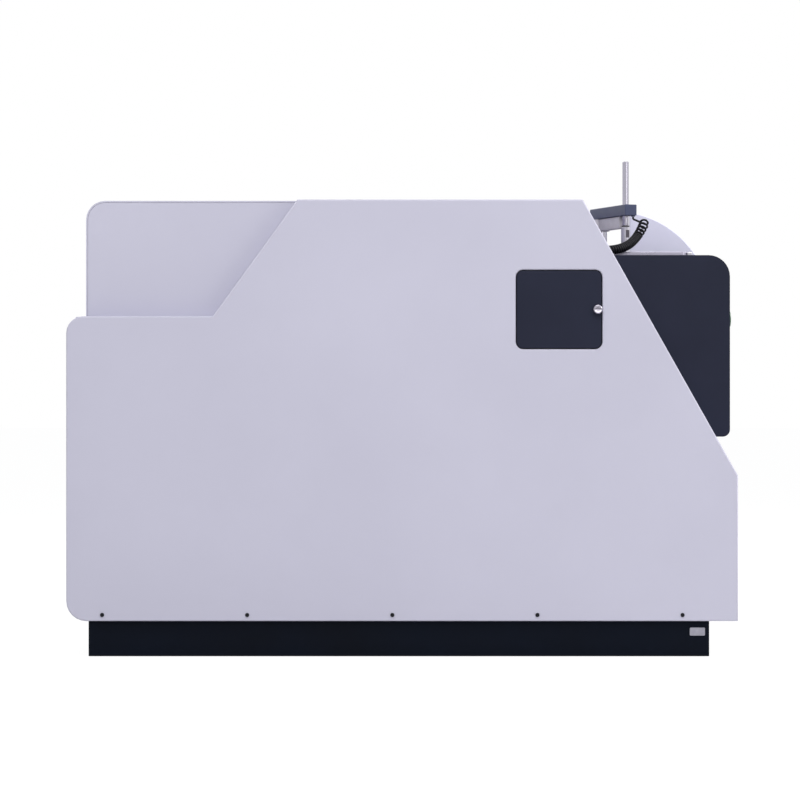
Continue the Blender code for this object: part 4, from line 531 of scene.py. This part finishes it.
# Floor plate and the welded frame inside: folded sheet and angle, zinc plated and
# passivated, which leaves a cloudy grey. The plate's rear edge is trimmed to follow
# the side panels' rounded corner.
zinc = finish("zinc_plate", (0.50, 0.51, 0.53), 0.36, 0.9)
add_mottle(zinc, 0.018, (0.43, 0.44, 0.47), (0.57, 0.57, 0.56), 0.28, 0.48)
add_grain(zinc, 0.0011, 0.00001)


def trim(piece, place, way):
    """Saws off what lies beyond a plane and closes the cut."""
    clear_selection()
    piece.select_set(True)
    bpy.context.view_layer.objects.active = piece
    bpy.ops.object.mode_set(mode="EDIT")
    bpy.ops.mesh.select_all(action="SELECT")
    bpy.ops.mesh.bisect(plane_co=place, plane_no=way, use_fill=True, clear_outer=True)
    bpy.ops.object.mode_set(mode="OBJECT")
    shade(piece)
    return piece


foot_corner = 0.025
panel_rear, panel_foot = -0.420, 0.0447
plate_rear = panel_rear + foot_corner * 0.9
floor_plate = trim(soft_copy("floor_plate", 0.0005), (plate_rear, 0, 0), (-1, 0, 0))
dress(floor_plate, zinc, "root")
dress(soft_copy("equipment_frame", 0.0006), zinc, "root")


# Panel rails and screws: a steel strip along each panel's foot with five blackened
# button-head screws driven through the panel's skin.
def saw_plate(name, corners, low, high, axis):
    """A plate sawn to an outline: a filled ring of corners moved to place and extruded."""
    clear_selection()
    bpy.ops.mesh.primitive_circle_add(vertices=len(corners), fill_type="NGON", location=(0, 0, 0))
    plate = bpy.context.object
    plate.name = name
    for corner, (across, up) in zip(plate.data.vertices, corners):
        corner.co = {"X": (low, across, up), "Y": (across, low, up), "Z": (across, up, low)}[axis]
    depth = [high - low if letter == axis else 0 for letter in "XYZ"]
    bpy.ops.object.mode_set(mode="EDIT")
    bpy.ops.mesh.select_all(action="SELECT")
    bpy.ops.mesh.extrude_region_move(TRANSFORM_OT_translate={"value": depth})
    bpy.ops.mesh.select_all(action="SELECT")
    bpy.ops.mesh.normals_make_consistent(inside=False)
    bpy.ops.object.mode_set(mode="OBJECT")
    return plate


def block(name, low, high):
    """A plain bar or block, sawn to its two corners."""
    corners = [(low[0], low[1]), (high[0], low[1]), (high[0], high[1]), (low[0], high[1])]
    return saw_plate(name, corners, low[2], high[2], "Z")


def ease_edges(piece, width, steps=2):
    """Breaks a piece's sharp edges with a small round."""
    clear_selection()
    piece.select_set(True)
    bpy.context.view_layer.objects.active = piece
    bpy.ops.object.mode_set(mode="EDIT")
    choose(piece, "edges", lambda edge: edge.calc_face_angle(0) > crisp)
    bpy.ops.mesh.bevel(offset=width, segments=steps, affect="EDGES", clamp_overlap=True)
    bpy.ops.object.mode_set(mode="OBJECT")
    shade(piece)
    return piece


def carve(piece, cutter):
    """Cuts a piece with another, and clears the other away."""
    work = piece.modifiers.new("carve", "BOOLEAN")
    work.operation = "DIFFERENCE"
    work.solver = "EXACT"
    work.object = cutter
    clear_selection()
    piece.select_set(True)
    bpy.context.view_layer.objects.active = piece
    bpy.ops.object.modifier_apply(modifier="carve")
    bpy.data.objects.remove(cutter)
    return piece


def copy_to(piece, name, shift, turn=None):
    """A copy of a piece with its own mesh, moved, and turned about the origin first if asked."""
    twin = piece.copy()
    twin.data = piece.data.copy()
    twin.name = name
    scene.collection.objects.link(twin)
    if turn is not None:
        twin.data.transform(turn)
    twin.data.transform(Matrix.Translation(shift))
    return twin


def socket_screw(name, radius, height, shank, long):
    """A button-head screw with a hexagon socket, head up, seated at the origin."""
    profile = [(0, -long), (shank, -long), (shank, 0), (radius, 0), (radius, height * 0.35),
               (radius * 0.93, height * 0.72), (radius * 0.74, height), (0, height)]
    screw = turn_piece(name, profile, (0, 0, 0), steps=24)
    key, key_foot, key_top = radius * 0.46, height * 0.35, height * 2
    hexagon = turn_piece("hexagon", [(0, key_foot), (key, key_foot), (key, key_top), (0, key_top)],
                         (0, 0, 0), steps=6)
    carve(screw, hexagon)
    shade(screw, 30)
    return screw


black_oxide = finish("screw_black_oxide", (0.0080, 0.0085, 0.0120), 0.38, 0.35, Specular_IOR_Level=0.3)
add_mottle(black_oxide, 0.002, (0.0060, 0.0065, 0.0095), (0.0120, 0.0125, 0.0170), 0.3, 0.5)
rail_inside, rail_outside = 0.2523, 0.2777
rail_foot, rail_top = 0.0470, 0.0590
first_screw, screw_gap = -0.3750, 0.1814
screw_seat, screw_height = 0.2803, 0.0525
screw_pattern = socket_screw("screw_pattern", 0.0026, 0.0016, 0.0016, 0.0040)
for side, word in ((-1, "left"), (1, "right")):
    rail_low, rail_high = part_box(word + "_panel_rail")
    near, far = sorted((side * rail_inside, side * rail_outside))
    rail = block(word + "_rail_bar", (rail_low.x, near, rail_foot), (rail_high.x, far, rail_top))
    ease_edges(rail, 0.0006)
    dress(rail, zinc, "root")
    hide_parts(word + "_panel_rail")
    lay = Matrix.Rotation(math.radians(-90 * side), 4, "X")
    for index in range(5):
        place = (first_screw + screw_gap * index, side * screw_seat, screw_height)
        screw = copy_to(screw_pattern, "%s_panel_screw_%d" % (word, index + 1), place, lay)
        dress(screw, black_oxide, "root")
bpy.data.objects.remove(screw_pattern)

# Side panels, covers and inner walls: 2 mm steel sheet, folded to pans, welded at
# the corners, ground, and powder coated in a fine pale lilac grey. The rear panel's
# foot is trimmed as the floor plate is.
pale_coat = finish("pale_powder_coat", (0.530, 0.525, 0.635), 0.46, Specular_IOR_Level=0.4)
add_mottle(pale_coat, 0.22, (0.517, 0.512, 0.620), (0.545, 0.540, 0.652), 0.42, 0.52)
add_grain(pale_coat, 0.0010, 0.000012)
add_grain(pale_coat, 0.006, 0.00003, detail=1.0)
skin, hood_side = 0.2798, 0.252


def on_skin(edge):
    """The folds round a side panel's outer face."""
    return all(abs(corner.co.y) > skin for corner in edge.verts)


def on_hood_side(edge):
    """The top cover's two long edges."""
    return all(abs(abs(corner.co.y) - hood_side) < 0.0001 for corner in edge.verts)


for word in ("left", "right"):
    panel = soft_copy(word + "_side_panel", 0.0024, on_skin, steps=3)
    dress(panel, pale_coat, "root")
    dress(soft_copy("inner_%s_wall" % word, 0.0002), pale_coat, "root")
hood = soft_copy("top_cover", 0.0004, on_hood_side, steps=3)
dress(hood, pale_coat, "root")
rear_foot = panel_foot + foot_corner * 0.32
rear_panel = trim(soft_copy("rear_panel", 0.0005), (0, 0, rear_foot), (0, 0, -1))
dress(rear_panel, pale_coat, "root")
dress(soft_copy("front_lower_panel", 0.0005), pale_coat, "root")

# Cheek beside the spark stand: a thick disc segment with its arc left a little rounder than its back edge.
# Its coat is the casing's pale coat painted lighter and bluer: painted light that lifts the cheek out of the
# shade it stands in.
lightened_cheek_coat = finish("cheek_coat_painted_lighter", (0.685, 0.685, 0.835), 0.42, Specular_IOR_Level=0.4)
add_mottle(lightened_cheek_coat, 0.08, (0.672, 0.672, 0.820), (0.698, 0.698, 0.850), 0.38, 0.47)
add_grain(lightened_cheek_coat, 0.0010, 0.000012)
cheek = soft_copy("stand_cheek", 0.0010, steps=3)
dress(cheek, lightened_cheek_coat, "root")

# Nose housing: a dark box of 3 mm sheet that stands out in front between the side
# panels, powder coated in a fine blue black.
dark_coat = finish("dark_powder_coat", (0.0107, 0.0131, 0.0298), 0.44, Specular_IOR_Level=0.18)
add_mottle(dark_coat, 0.10, (0.0098, 0.0120, 0.0274), (0.0118, 0.0145, 0.0325), 0.40, 0.52)
add_grain(dark_coat, 0.0010, 0.00002)
add_grain(dark_coat, 0.006, 0.00004, detail=1.0)
dress(soft_copy("nose_housing", 0.0010, steps=3), dark_coat, "root")

# Service door: a 6 mm plate on two pins, in the nose's dark coat, with its edges
# broken so that it clears its frame.
dress(soft_copy("side_door", 0.0006, steps=3, shortest=0.0025), dark_coat, "side_door")
dress(soft_copy("door_frame", 0.0005, shortest=0.0025), moulding, "root")


# Latch knob: turned and knurled brass, nickel plated, slotted for a coin, on a stem
# with a stamped cam inside the door.
def turned_marks(material, size, depth, centre, axis):
    """Lathe marks: fine rings round an axis through a centre, size metres apart."""
    tree = material.node_tree
    place = tree.nodes.new("ShaderNodeTexCoord")
    middle = tree.nodes.new("ShaderNodeVectorMath")
    middle.operation = "SUBTRACT"
    middle.inputs[1].default_value = centre
    apart = tree.nodes.new("ShaderNodeSeparateXYZ")
    joined = tree.nodes.new("ShaderNodeCombineXYZ")
    reach = tree.nodes.new("ShaderNodeVectorMath")
    reach.operation = "LENGTH"
    flat = tree.nodes.new("ShaderNodeVectorMath")
    flat.operation = "MULTIPLY"
    flat.inputs[1].default_value = [0 if letter == axis else 1 for letter in "XYZ"]
    tree.links.new(place.outputs["Object"], middle.inputs[0])
    tree.links.new(middle.outputs[0], apart.inputs[0])
    tree.links.new(middle.outputs[0], flat.inputs[0])
    tree.links.new(flat.outputs[0], reach.inputs[0])
    tree.links.new(reach.outputs["Value"], joined.inputs["X"])
    tree.links.new(apart.outputs[axis], joined.inputs["Y"])
    noise = tree.nodes.new("ShaderNodeTexNoise")
    noise.inputs["Scale"].default_value = 1 / size
    noise.inputs["Detail"].default_value = 2
    relief = tree.nodes.new("ShaderNodeBump")
    relief.inputs["Distance"].default_value = depth
    tree.links.new(joined.outputs[0], noise.inputs["Vector"])
    tree.links.new(noise.outputs["Fac"], relief.inputs["Height"])
    tree.links.new(relief.outputs[0], tree.nodes["Principled BSDF"].inputs["Normal"])
    return material


def bright_metal(name, colour, rough, size=0.008, metallic=1.0):
    """A clean machined metal with slight changes in its colour and gloss."""
    material = finish(name, colour, rough, metallic)
    dark, pale = shaded(colour, 0.92), shaded(colour, 1.06)
    return add_mottle(material, size, dark, pale, rough * 0.8, rough * 1.25)


def flute(piece, centre_x, centre_z, steps, nearest, furthest, depth):
    """Sinks every second corner of a rim by a share of its radius, all round an axis along Y."""
    for corner in piece.data.vertices:
        out = Vector((corner.co.x - centre_x, corner.co.z - centre_z))
        step = round(math.atan2(out.y, out.x) / (2 * math.pi) * steps)
        if nearest < out.length < furthest and step % 2:
            corner.co.x -= out.x * depth
            corner.co.z -= out.y * depth


knob_x, knob_z, knob_steps = 0.2445, 0.4344, 56
knob_metal = bright_metal("knob_nickel", (0.44, 0.42, 0.49), 0.30)
knob_nickel = turned_marks(knob_metal, 0.0004, 0.00002, (knob_x, 0, knob_z), "Y")
knob_profile = [
    (0, 0), (0.0046, 0), (0.0050, 0.0003), (0.0057, 0.0010), (0.0057, 0.0066), (0.0050, 0.0072),
    (0.0042, 0.0076), (0.0042, 0.0080), (0.0022, 0.0080), (0.0022, 0.0143), (0, 0.0143),
]
knob = turn_piece("latch_knob", knob_profile, (knob_x, -0.2883, knob_z), (0, 1, 0), knob_steps)
flute(knob, knob_x, knob_z, knob_steps, 0.0056, 0.0058, 0.05)
slot_low = (knob_x - 0.0065, -0.2890, knob_z - 0.0006)
slot_high = (knob_x + 0.0065, -0.2871, knob_z + 0.0006)
carve(knob, block("coin_slot", slot_low, slot_high))
shade(knob, 28)
dress(knob, knob_nickel, "door_latch")
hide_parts("door_knob")
dress(soft_copy("latch_cam", 0.0003, shortest=0.0008), zinc, "door_latch")

# Service compartment: a black moulded tray behind the door, with the round particle
# filter of the argon line standing on its back wall.
dress(soft_copy("service_box", 0.0004, shortest=0.0025), moulding, "root")
filter_low, filter_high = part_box("filter_cartridge")
filter_x, filter_z, filter_steps = 0.1963, 0.4344, 96
filter_body = turn_piece("filter_drum", [
    (0, 0), (0.0340, 0), (0.0340, 0.0040), (0.0328, 0.0048), (0.0328, 0.0330), (0.0340, 0.0338),
    (0.0340, 0.0362), (0.0322, 0.0380), (0.0262, 0.0380), (0.0256, 0.0372), (0, 0.0372),
], (filter_x, filter_high.y, filter_z), (0, -1, 0), filter_steps)
flute(filter_body, filter_x, filter_z, filter_steps, 0.0326, 0.0330, 0.07)
filter_white = finish("filter_white", (0.66, 0.66, 0.62), 0.5)
add_mottle(filter_white, 0.01, (0.62, 0.62, 0.58), (0.70, 0.70, 0.66), 0.42, 0.58)
add_grain(filter_white, 0.0008, 0.00003)
shade(filter_body, 30)
dress(filter_body, filter_white, "root")
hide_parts("filter_cartridge")
grip = block(
    "filter_grip_bar",
    (filter_x - 0.0150, filter_low.y, filter_z - 0.0030),
    (filter_x + 0.0150, filter_low.y + 0.0072, filter_z + 0.0030),
)
ease_edges(grip, 0.0012, 3)
dress(grip, filter_white, "root")

# Spark plate: a hardened and ground steel plate on the deck with rounded corners, a
# replaceable aperture ring and four countersunk screws.
ground_steel = bright_metal("ground_steel", (0.38, 0.365, 0.45), 0.30, 0.02)
add_grain(ground_steel, 0.0005, 0.000012, stretch=(1, 14, 14))
plate_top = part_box("spark_plate")[1].z


def off_the_hole(edge):
    """All of the plate's edges but those of the spark's hole."""
    return all(
        Vector((corner.co.x - spark_x, corner.co.y - spark_y)).length > 0.008
        for corner in edge.verts
    )


plate = soft_copy("spark_plate", 0.0006, off_the_hole, shortest=0.001)
seat = turn_piece("ring_seat", [(0, 0.5090), (0.0192, 0.5090), (0.0192, 0.5120), (0, 0.5120)],
                  (spark_x, spark_y, 0), steps=64)
carve(plate, seat)
screw_spots = [(0.2535, -0.1925), (0.3560, -0.1925), (0.2535, -0.0980), (0.3560, -0.0980)]
cone_profile = [(0, -0.0024), (0.0018, -0.0024), (0.0040, 0), (0.0042, 0.0010), (0, 0.0010)]
for spot in screw_spots:
    carve(plate, turn_piece("countersink", cone_profile, (*spot, plate_top), steps=32))
shade(plate, 30)
dress(plate, ground_steel, "root")
ring_metal = bright_metal("ring_steel", (0.50, 0.49, 0.54), 0.22)
ring_steel = turned_marks(ring_metal, 0.0005, 0.00002, (spark_x, spark_y, 0.51), "Z")
ring = turn_piece("aperture_ring", [
    (0.0060, 0.5091), (0.0190, 0.5091), (0.0190, 0.5104), (0.0188, 0.5106),
    (0.0075, 0.5106), (0.0060, 0.5098),
], (spark_x, spark_y, 0), steps=72)
dress(ring, ring_steel, "root")
clip = block("plate_clip", (0.3644, -0.1960, 0.5040), (0.3712, -0.1740, 0.5103))
ease_edges(clip, 0.0010, 3)
dress(clip, ring_steel, "root")
sunk_pattern = turn_piece("sunk_pattern", [
    (0, -0.0022), (0.0016, -0.0022), (0.0037, -0.0002), (0.0037, 0), (0, 0),
], (0, 0, 0), steps=28)
key_profile = [(0, -0.0014), (0.0014, -0.0014), (0.0014, 0.001), (0, 0.001)]
carve(sunk_pattern, turn_piece("hexagon", key_profile, (0, 0, 0), steps=6))
shade(sunk_pattern, 30)
for number, spot in enumerate(screw_spots, 1):
    sunk = copy_to(sunk_pattern, "plate_screw_%d" % number, (*spot, plate_top - 0.0001))
    dress(sunk, ring_steel, "root")
bpy.data.objects.remove(sunk_pattern)

# Spark stand under the deck: a milled aluminium block with the spark chamber, the
# tungsten electrode in its ceramic bush, and the tube that leads the light out.
milled = bright_metal("milled_aluminium", (0.58, 0.58, 0.60), 0.32, 0.03)
add_grain(milled, 0.0007, 0.00001, stretch=(10, 1, 1))
dress(soft_copy("stand_body", 0.0005, shortest=0.012), milled, "root")
dress(soft_copy("light_tube", 0.0), milled, "root")
tungsten_metal = bright_metal("tungsten", (0.30, 0.30, 0.32), 0.34, 0.003)
tungsten = turned_marks(tungsten_metal, 0.0003, 0.00001, (spark_x, spark_y, 0.5), "Z")
dress(soft_copy("electrode", 0.0), tungsten, "root")
ceramic = finish("ceramic", (0.80, 0.79, 0.75), 0.28)
add_mottle(ceramic, 0.006, (0.76, 0.75, 0.70), (0.84, 0.83, 0.79), 0.22, 0.36)
dress(soft_copy("electrode_insulator", 0.0003, shortest=0.001), ceramic, "root")

# Sample clamp: a turned steel column, a silver arm body with a round boss, and a
# dark anodised block on top of it that guides the press rod.
column_metal = bright_metal("column_steel", (0.42, 0.41, 0.47), 0.28, 0.03)
column_steel = turned_marks(column_metal, 0.0006, 0.000006, column_foot, "Z")
dress(soft_copy("clamp_column", 0.0004, shortest=0.001), column_steel, "root")
arm_silver = bright_metal("arm_aluminium", (0.585, 0.565, 0.610), 0.42, 0.01, 0.3)
add_grain(arm_silver, 0.0005, 0.00002, stretch=(1, 1, 10))
dress(soft_copy("clamp_arm_body", 0.0005, shortest=0.005), arm_silver, "clamp_arm")
anodised = finish("arm_anodised", (0.0515, 0.0620, 0.1200), 0.50, 0.2, Specular_IOR_Level=0.35)
add_mottle(anodised, 0.02, (0.0475, 0.0570, 0.1120), (0.0560, 0.0670, 0.1280), 0.44, 0.56)
add_grain(anodised, 0.0004, 0.00001, stretch=(1, 1, 8))
dress(soft_copy("clamp_arm_block", 0.0), anodised, "clamp_arm")

# Press rod and foot: ground silver steel that slides in the arm, with the turned
# foot, its driving slot and the thin ring between them.
rod_metal = bright_metal("rod_silver_steel", (0.435, 0.420, 0.490), 0.18, 0.03)
rod_steel = turned_marks(rod_metal, 0.0008, 0.000003, (spark_x, spark_y, 0), "Z")
dress(soft_copy("press_rod", 0.0), rod_steel, "press_rod")
foot_steel = bright_metal("foot_steel", (0.51, 0.50, 0.56), 0.30, 0.02, 0.7)
dress(soft_copy("press_foot", 0.0), foot_steel, "press_rod")
foot_ring = turn_piece("foot_ring", [
    (0.0040, 0.5448), (0.0047, 0.5448), (0.0050, 0.5452), (0.0050, 0.5463),
    (0.0047, 0.5467), (0.0040, 0.5467),
], (spark_x, spark_y, 0), steps=32)
dress(foot_ring, moulding, "press_rod")
# Painted shade: a dark grey block fills the foot's driving slot and stands in for the shade inside it.
slot_shade_block = block("slot_shade_block", (0.2891, -0.1592, 0.5310), (0.2934, -0.1571, 0.5408))
ease_edges(slot_shade_block, 0.0003)
slot_shade_grey = finish("slot_shade_grey", (0.105, 0.095, 0.110), 0.4, Specular_IOR_Level=0.3)
add_mottle(slot_shade_grey, 0.003, (0.085, 0.077, 0.090), (0.125, 0.114, 0.130), 0.34, 0.46)
dress(slot_shade_block, slot_shade_grey, "press_rod")

# Cord socket: a turned steel bush with a hexagon to hold it by, screwed through the
# bay's wall from outside, with the cord's plug pushed into it.
dress(soft_copy("cord_socket", 0.0003, shortest=0.001), column_steel, "root")

# Start and stop buttons: glossy moulded caps in the guides of one brushed plate on
# the nose's front.
dress(soft_copy("button_plate", 0.0004, shortest=0.0025), ground_steel, "root")
cap_radius = 0.0110
for name, colour in (
    ("start_button", (0.009, 0.080, 0.026)),
    ("stop_button", (0.40, 0.016, 0.014)),
):
    cap_gloss = finish(name + "_gloss", colour, 0.22, Coat_Weight=0.4, Coat_Roughness=0.12)
    add_mottle(cap_gloss, 0.01, shaded(colour, 0.93), shaded(colour, 1.08), 0.18, 0.30)
    low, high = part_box(name)
    middle = (low + high) / 2
    long = high.x - low.x
    cap = turn_piece(name + "_cap", [
        (0, 0), (cap_radius, 0), (cap_radius, long - 0.0020), (0.0106, long - 0.0009),
        (0.0098, long - 0.0002), (0.0090, long), (0.0070, long - 0.0003),
        (0.0040, long - 0.0009), (0, long - 0.0012),
    ], (low.x, middle.y, middle.z), (1, 0, 0), 48)
    dress(cap, cap_gloss, name)
    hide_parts(name)

# Fan: a moulded frame with its hub on four struts, the seven-bladed rotor, and a flat
# black guard screwed over it outside. Seven more of its screws hold the rear panel.
dress(soft_copy("fan_frame", 0.0005, shortest=0.006), moulding, "root")
dress(soft_copy("fan_rotor", 0.0), moulding, "fan_rotor")
dress(soft_copy("fan_grille", 0.0003, shortest=0.004), moulding, "root")
guard_face, rear_face = -0.4138, -0.4123
fan_y, fan_z, screw_reach = 0.120, 0.235, 0.0565
head_out = Matrix.Rotation(math.radians(-90), 4, "Y")
guard_screw = socket_screw("guard_screw", 0.0036, 0.0020, 0.0018, 0.0010)
for number, (side, up) in enumerate(((-1, -1), (1, -1), (-1, 1), (1, 1)), 1):
    spot = (guard_face, fan_y + side * screw_reach, fan_z + up * screw_reach)
    screw = copy_to(guard_screw, "guard_screw_%d" % number, spot, head_out)
    dress(screw, black_oxide, "root")
rear_side = 0.240
rear_spots = [(side * rear_side, up) for side in (-1, 1) for up in (0.070, 0.235, 0.400)]
for number, (across, up) in enumerate([*rear_spots, (0.0, 0.412)], 1):
    screw = copy_to(guard_screw, "rear_screw_%d" % number, (rear_face, across, up), head_out)
    dress(screw, black_oxide, "root")
bpy.data.objects.remove(guard_screw)

# Mains inlet: one moulded body with the appliance socket and its three pins below
# and the rocker switch above, marked with the line and the ring.
dress(soft_copy("power_inlet", 0.0005, shortest=0.003), moulding, "root")
pin_nickel = bright_metal("pin_nickel", (0.55, 0.53, 0.48), 0.25, 0.004)
inlet_y, pins_z = -0.165, 0.102
pin_pattern = block("pin_pattern", (-0.0140, -0.0010, -0.0020), (0.0, 0.0010, 0.0020))
ease_edges(pin_pattern, 0.0003)
for number, (across, up) in enumerate(((-0.0070, -0.0020), (0.0, 0.0022), (0.0070, -0.0020)), 1):
    pin = copy_to(pin_pattern, "inlet_pin_%d" % number, (-0.3974, inlet_y + across, pins_z + up))
    dress(pin, pin_nickel, "root")
bpy.data.objects.remove(pin_pattern)
dress(soft_copy("power_rocker", 0.0004, shortest=0.003), moulding, "power_rocker")
mark_white = finish("mark_white", (0.72, 0.72, 0.72), 0.5)
add_mottle(mark_white, 0.001, (0.66, 0.66, 0.66), (0.78, 0.78, 0.78), 0.42, 0.6)
line_mark = block("rocker_line", (-0.00012, -0.00035, -0.0016), (0.00010, 0.00035, 0.0016))
rocker_lean = math.atan2(0.0015, 0.0095)
line_place = Matrix.Translation((-0.41726, inlet_y, 0.1328))
line_mark.data.transform(line_place @ Matrix.Rotation(-rocker_lean, 4, "Y"))
dress(line_mark, mark_white, "power_rocker")
mark_profile = [(0.0012, -0.0001), (0.0018, -0.0001), (0.0018, 0.00012), (0.0012, 0.00012)]
ring_mark = turn_piece("rocker_ring", mark_profile, (-0.4165, inlet_y, 0.1232), (-1, 0, 0), 28)
dress(ring_mark, mark_white, "power_rocker")

# Data port: a zinc die-cast double socket let into the rear panel, with eight gilt
# contact wires in each of its openings.
wire_pitch, wires_z = 0.00127, 0.1852
dress(soft_copy("data_port", 0.0004, shortest=0.003), zinc, "root")
gilt = bright_metal("contact_gilt", (0.72, 0.50, 0.20), 0.25, 0.003)
wire_pattern = block("wire_pattern", (-0.4112, -0.00022, -0.0003), (-0.4030, 0.00022, 0.0003))
for port, middle in (("left", -0.175), ("right", -0.155)):
    for number in range(8):
        place = (0, middle + (number - 3.5) * wire_pitch, wires_z)
        wire = copy_to(wire_pattern, "contact_%s_%d" % (port, number + 1), place)
        dress(wire, gilt, "root")
bpy.data.objects.remove(wire_pattern)

# Gas fittings: the turned brass argon inlet and the turned steel exhaust, screwed
# through the rear panel, each with a black push-in collar round its mouth.
gas_z = 0.069
brass_metal = bright_metal("brass", (0.58, 0.40, 0.15), 0.26, 0.006)
brass = turned_marks(brass_metal, 0.0005, 0.00002, (0, -0.060, gas_z), "X")
exhaust_metal = bright_metal("exhaust_steel", (0.46, 0.45, 0.49), 0.26, 0.006)
exhaust_steel = turned_marks(exhaust_metal, 0.0005, 0.00002, (0, -0.015, gas_z), "X")
for name, material, slot in (("argon_inlet", brass, "brass"), ("exhaust_outlet", exhaust_steel, "steel")):
    dress(soft_copy(name, 0.0004, shortest=0.001), material, "root")
    low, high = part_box(name)
    collar = turn_piece(name + "_collar", [
        (0.0026, 0), (0.0034, 0), (0.0037, 0.0003), (0.0037, 0.0040), (0.0026, 0.0040),
    ], (low.x + 0.0004, (low.y + high.y) / 2, (low.z + high.z) / 2), (1, 0, 0), 32)
    dress(collar, moulding, "root")

# Optics: the cast and milled chamber with its lid, the slit, the grating on its
# mount, and the detector rail, all bolted on rubber feet to the shelf.
cast = finish("cast_aluminium", (0.56, 0.56, 0.58), 0.42, 1.0)
add_mottle(cast, 0.03, (0.50, 0.50, 0.53), (0.62, 0.62, 0.63), 0.36, 0.52)
add_grain(cast, 0.0016, 0.00005)
dress(soft_copy("optical_chamber", 0.0008, shortest=0.012), cast, "root")
dress(soft_copy("optical_lid", 0.0008), cast, "root")
dress(soft_copy("grating_mount", 0.0), milled, "root")
dress(soft_copy("detector_rail", 0.0003, shortest=0.006), milled, "root")
dress(soft_copy("entrance_slit", 0.0003, shortest=0.006), moulding, "root")
grooved = finish("grating_coat", (0.50, 0.56, 0.68), 0.10, 1.0)
add_mottle(grooved, 0.01, (0.46, 0.52, 0.66), (0.54, 0.60, 0.70), 0.07, 0.14)
add_grain(grooved, 0.0004, 0.000005, stretch=(1, 30, 1))
dress(soft_copy("concave_grating", 0.0), grooved, "root")

# Electronics and gas: the spark source with its fins, the ignition transformer, the
# power supply, the upright cards in their rack, and the valve block.
dress(soft_copy("spark_source", 0.0006, shortest=0.012), milled, "root")
laminated = finish("transformer_steel", (0.11, 0.10, 0.10), 0.5, 0.6)
add_mottle(laminated, 0.01, (0.09, 0.08, 0.08), (0.14, 0.13, 0.13), 0.4, 0.6)
add_grain(laminated, 0.0008, 0.0001, stretch=(0.2, 12, 0.2))
dress(soft_copy("ignition_transformer", 0.0006, shortest=0.01), laminated, "root")
dress(soft_copy("power_supply", 0.0006, shortest=0.01), zinc, "root")
board = finish("board_lacquer", (0.018, 0.12, 0.045), 0.38)
add_mottle(board, 0.003, (0.012, 0.085, 0.032), (0.028, 0.16, 0.062), 0.3, 0.5)
add_grain(board, 0.0012, 0.00006, stretch=(1, 1, 5))
dress(soft_copy("control_boards", 0.0), board, "root")
dress(soft_copy("argon_manifold", 0.0006, shortest=0.004), milled, "root")
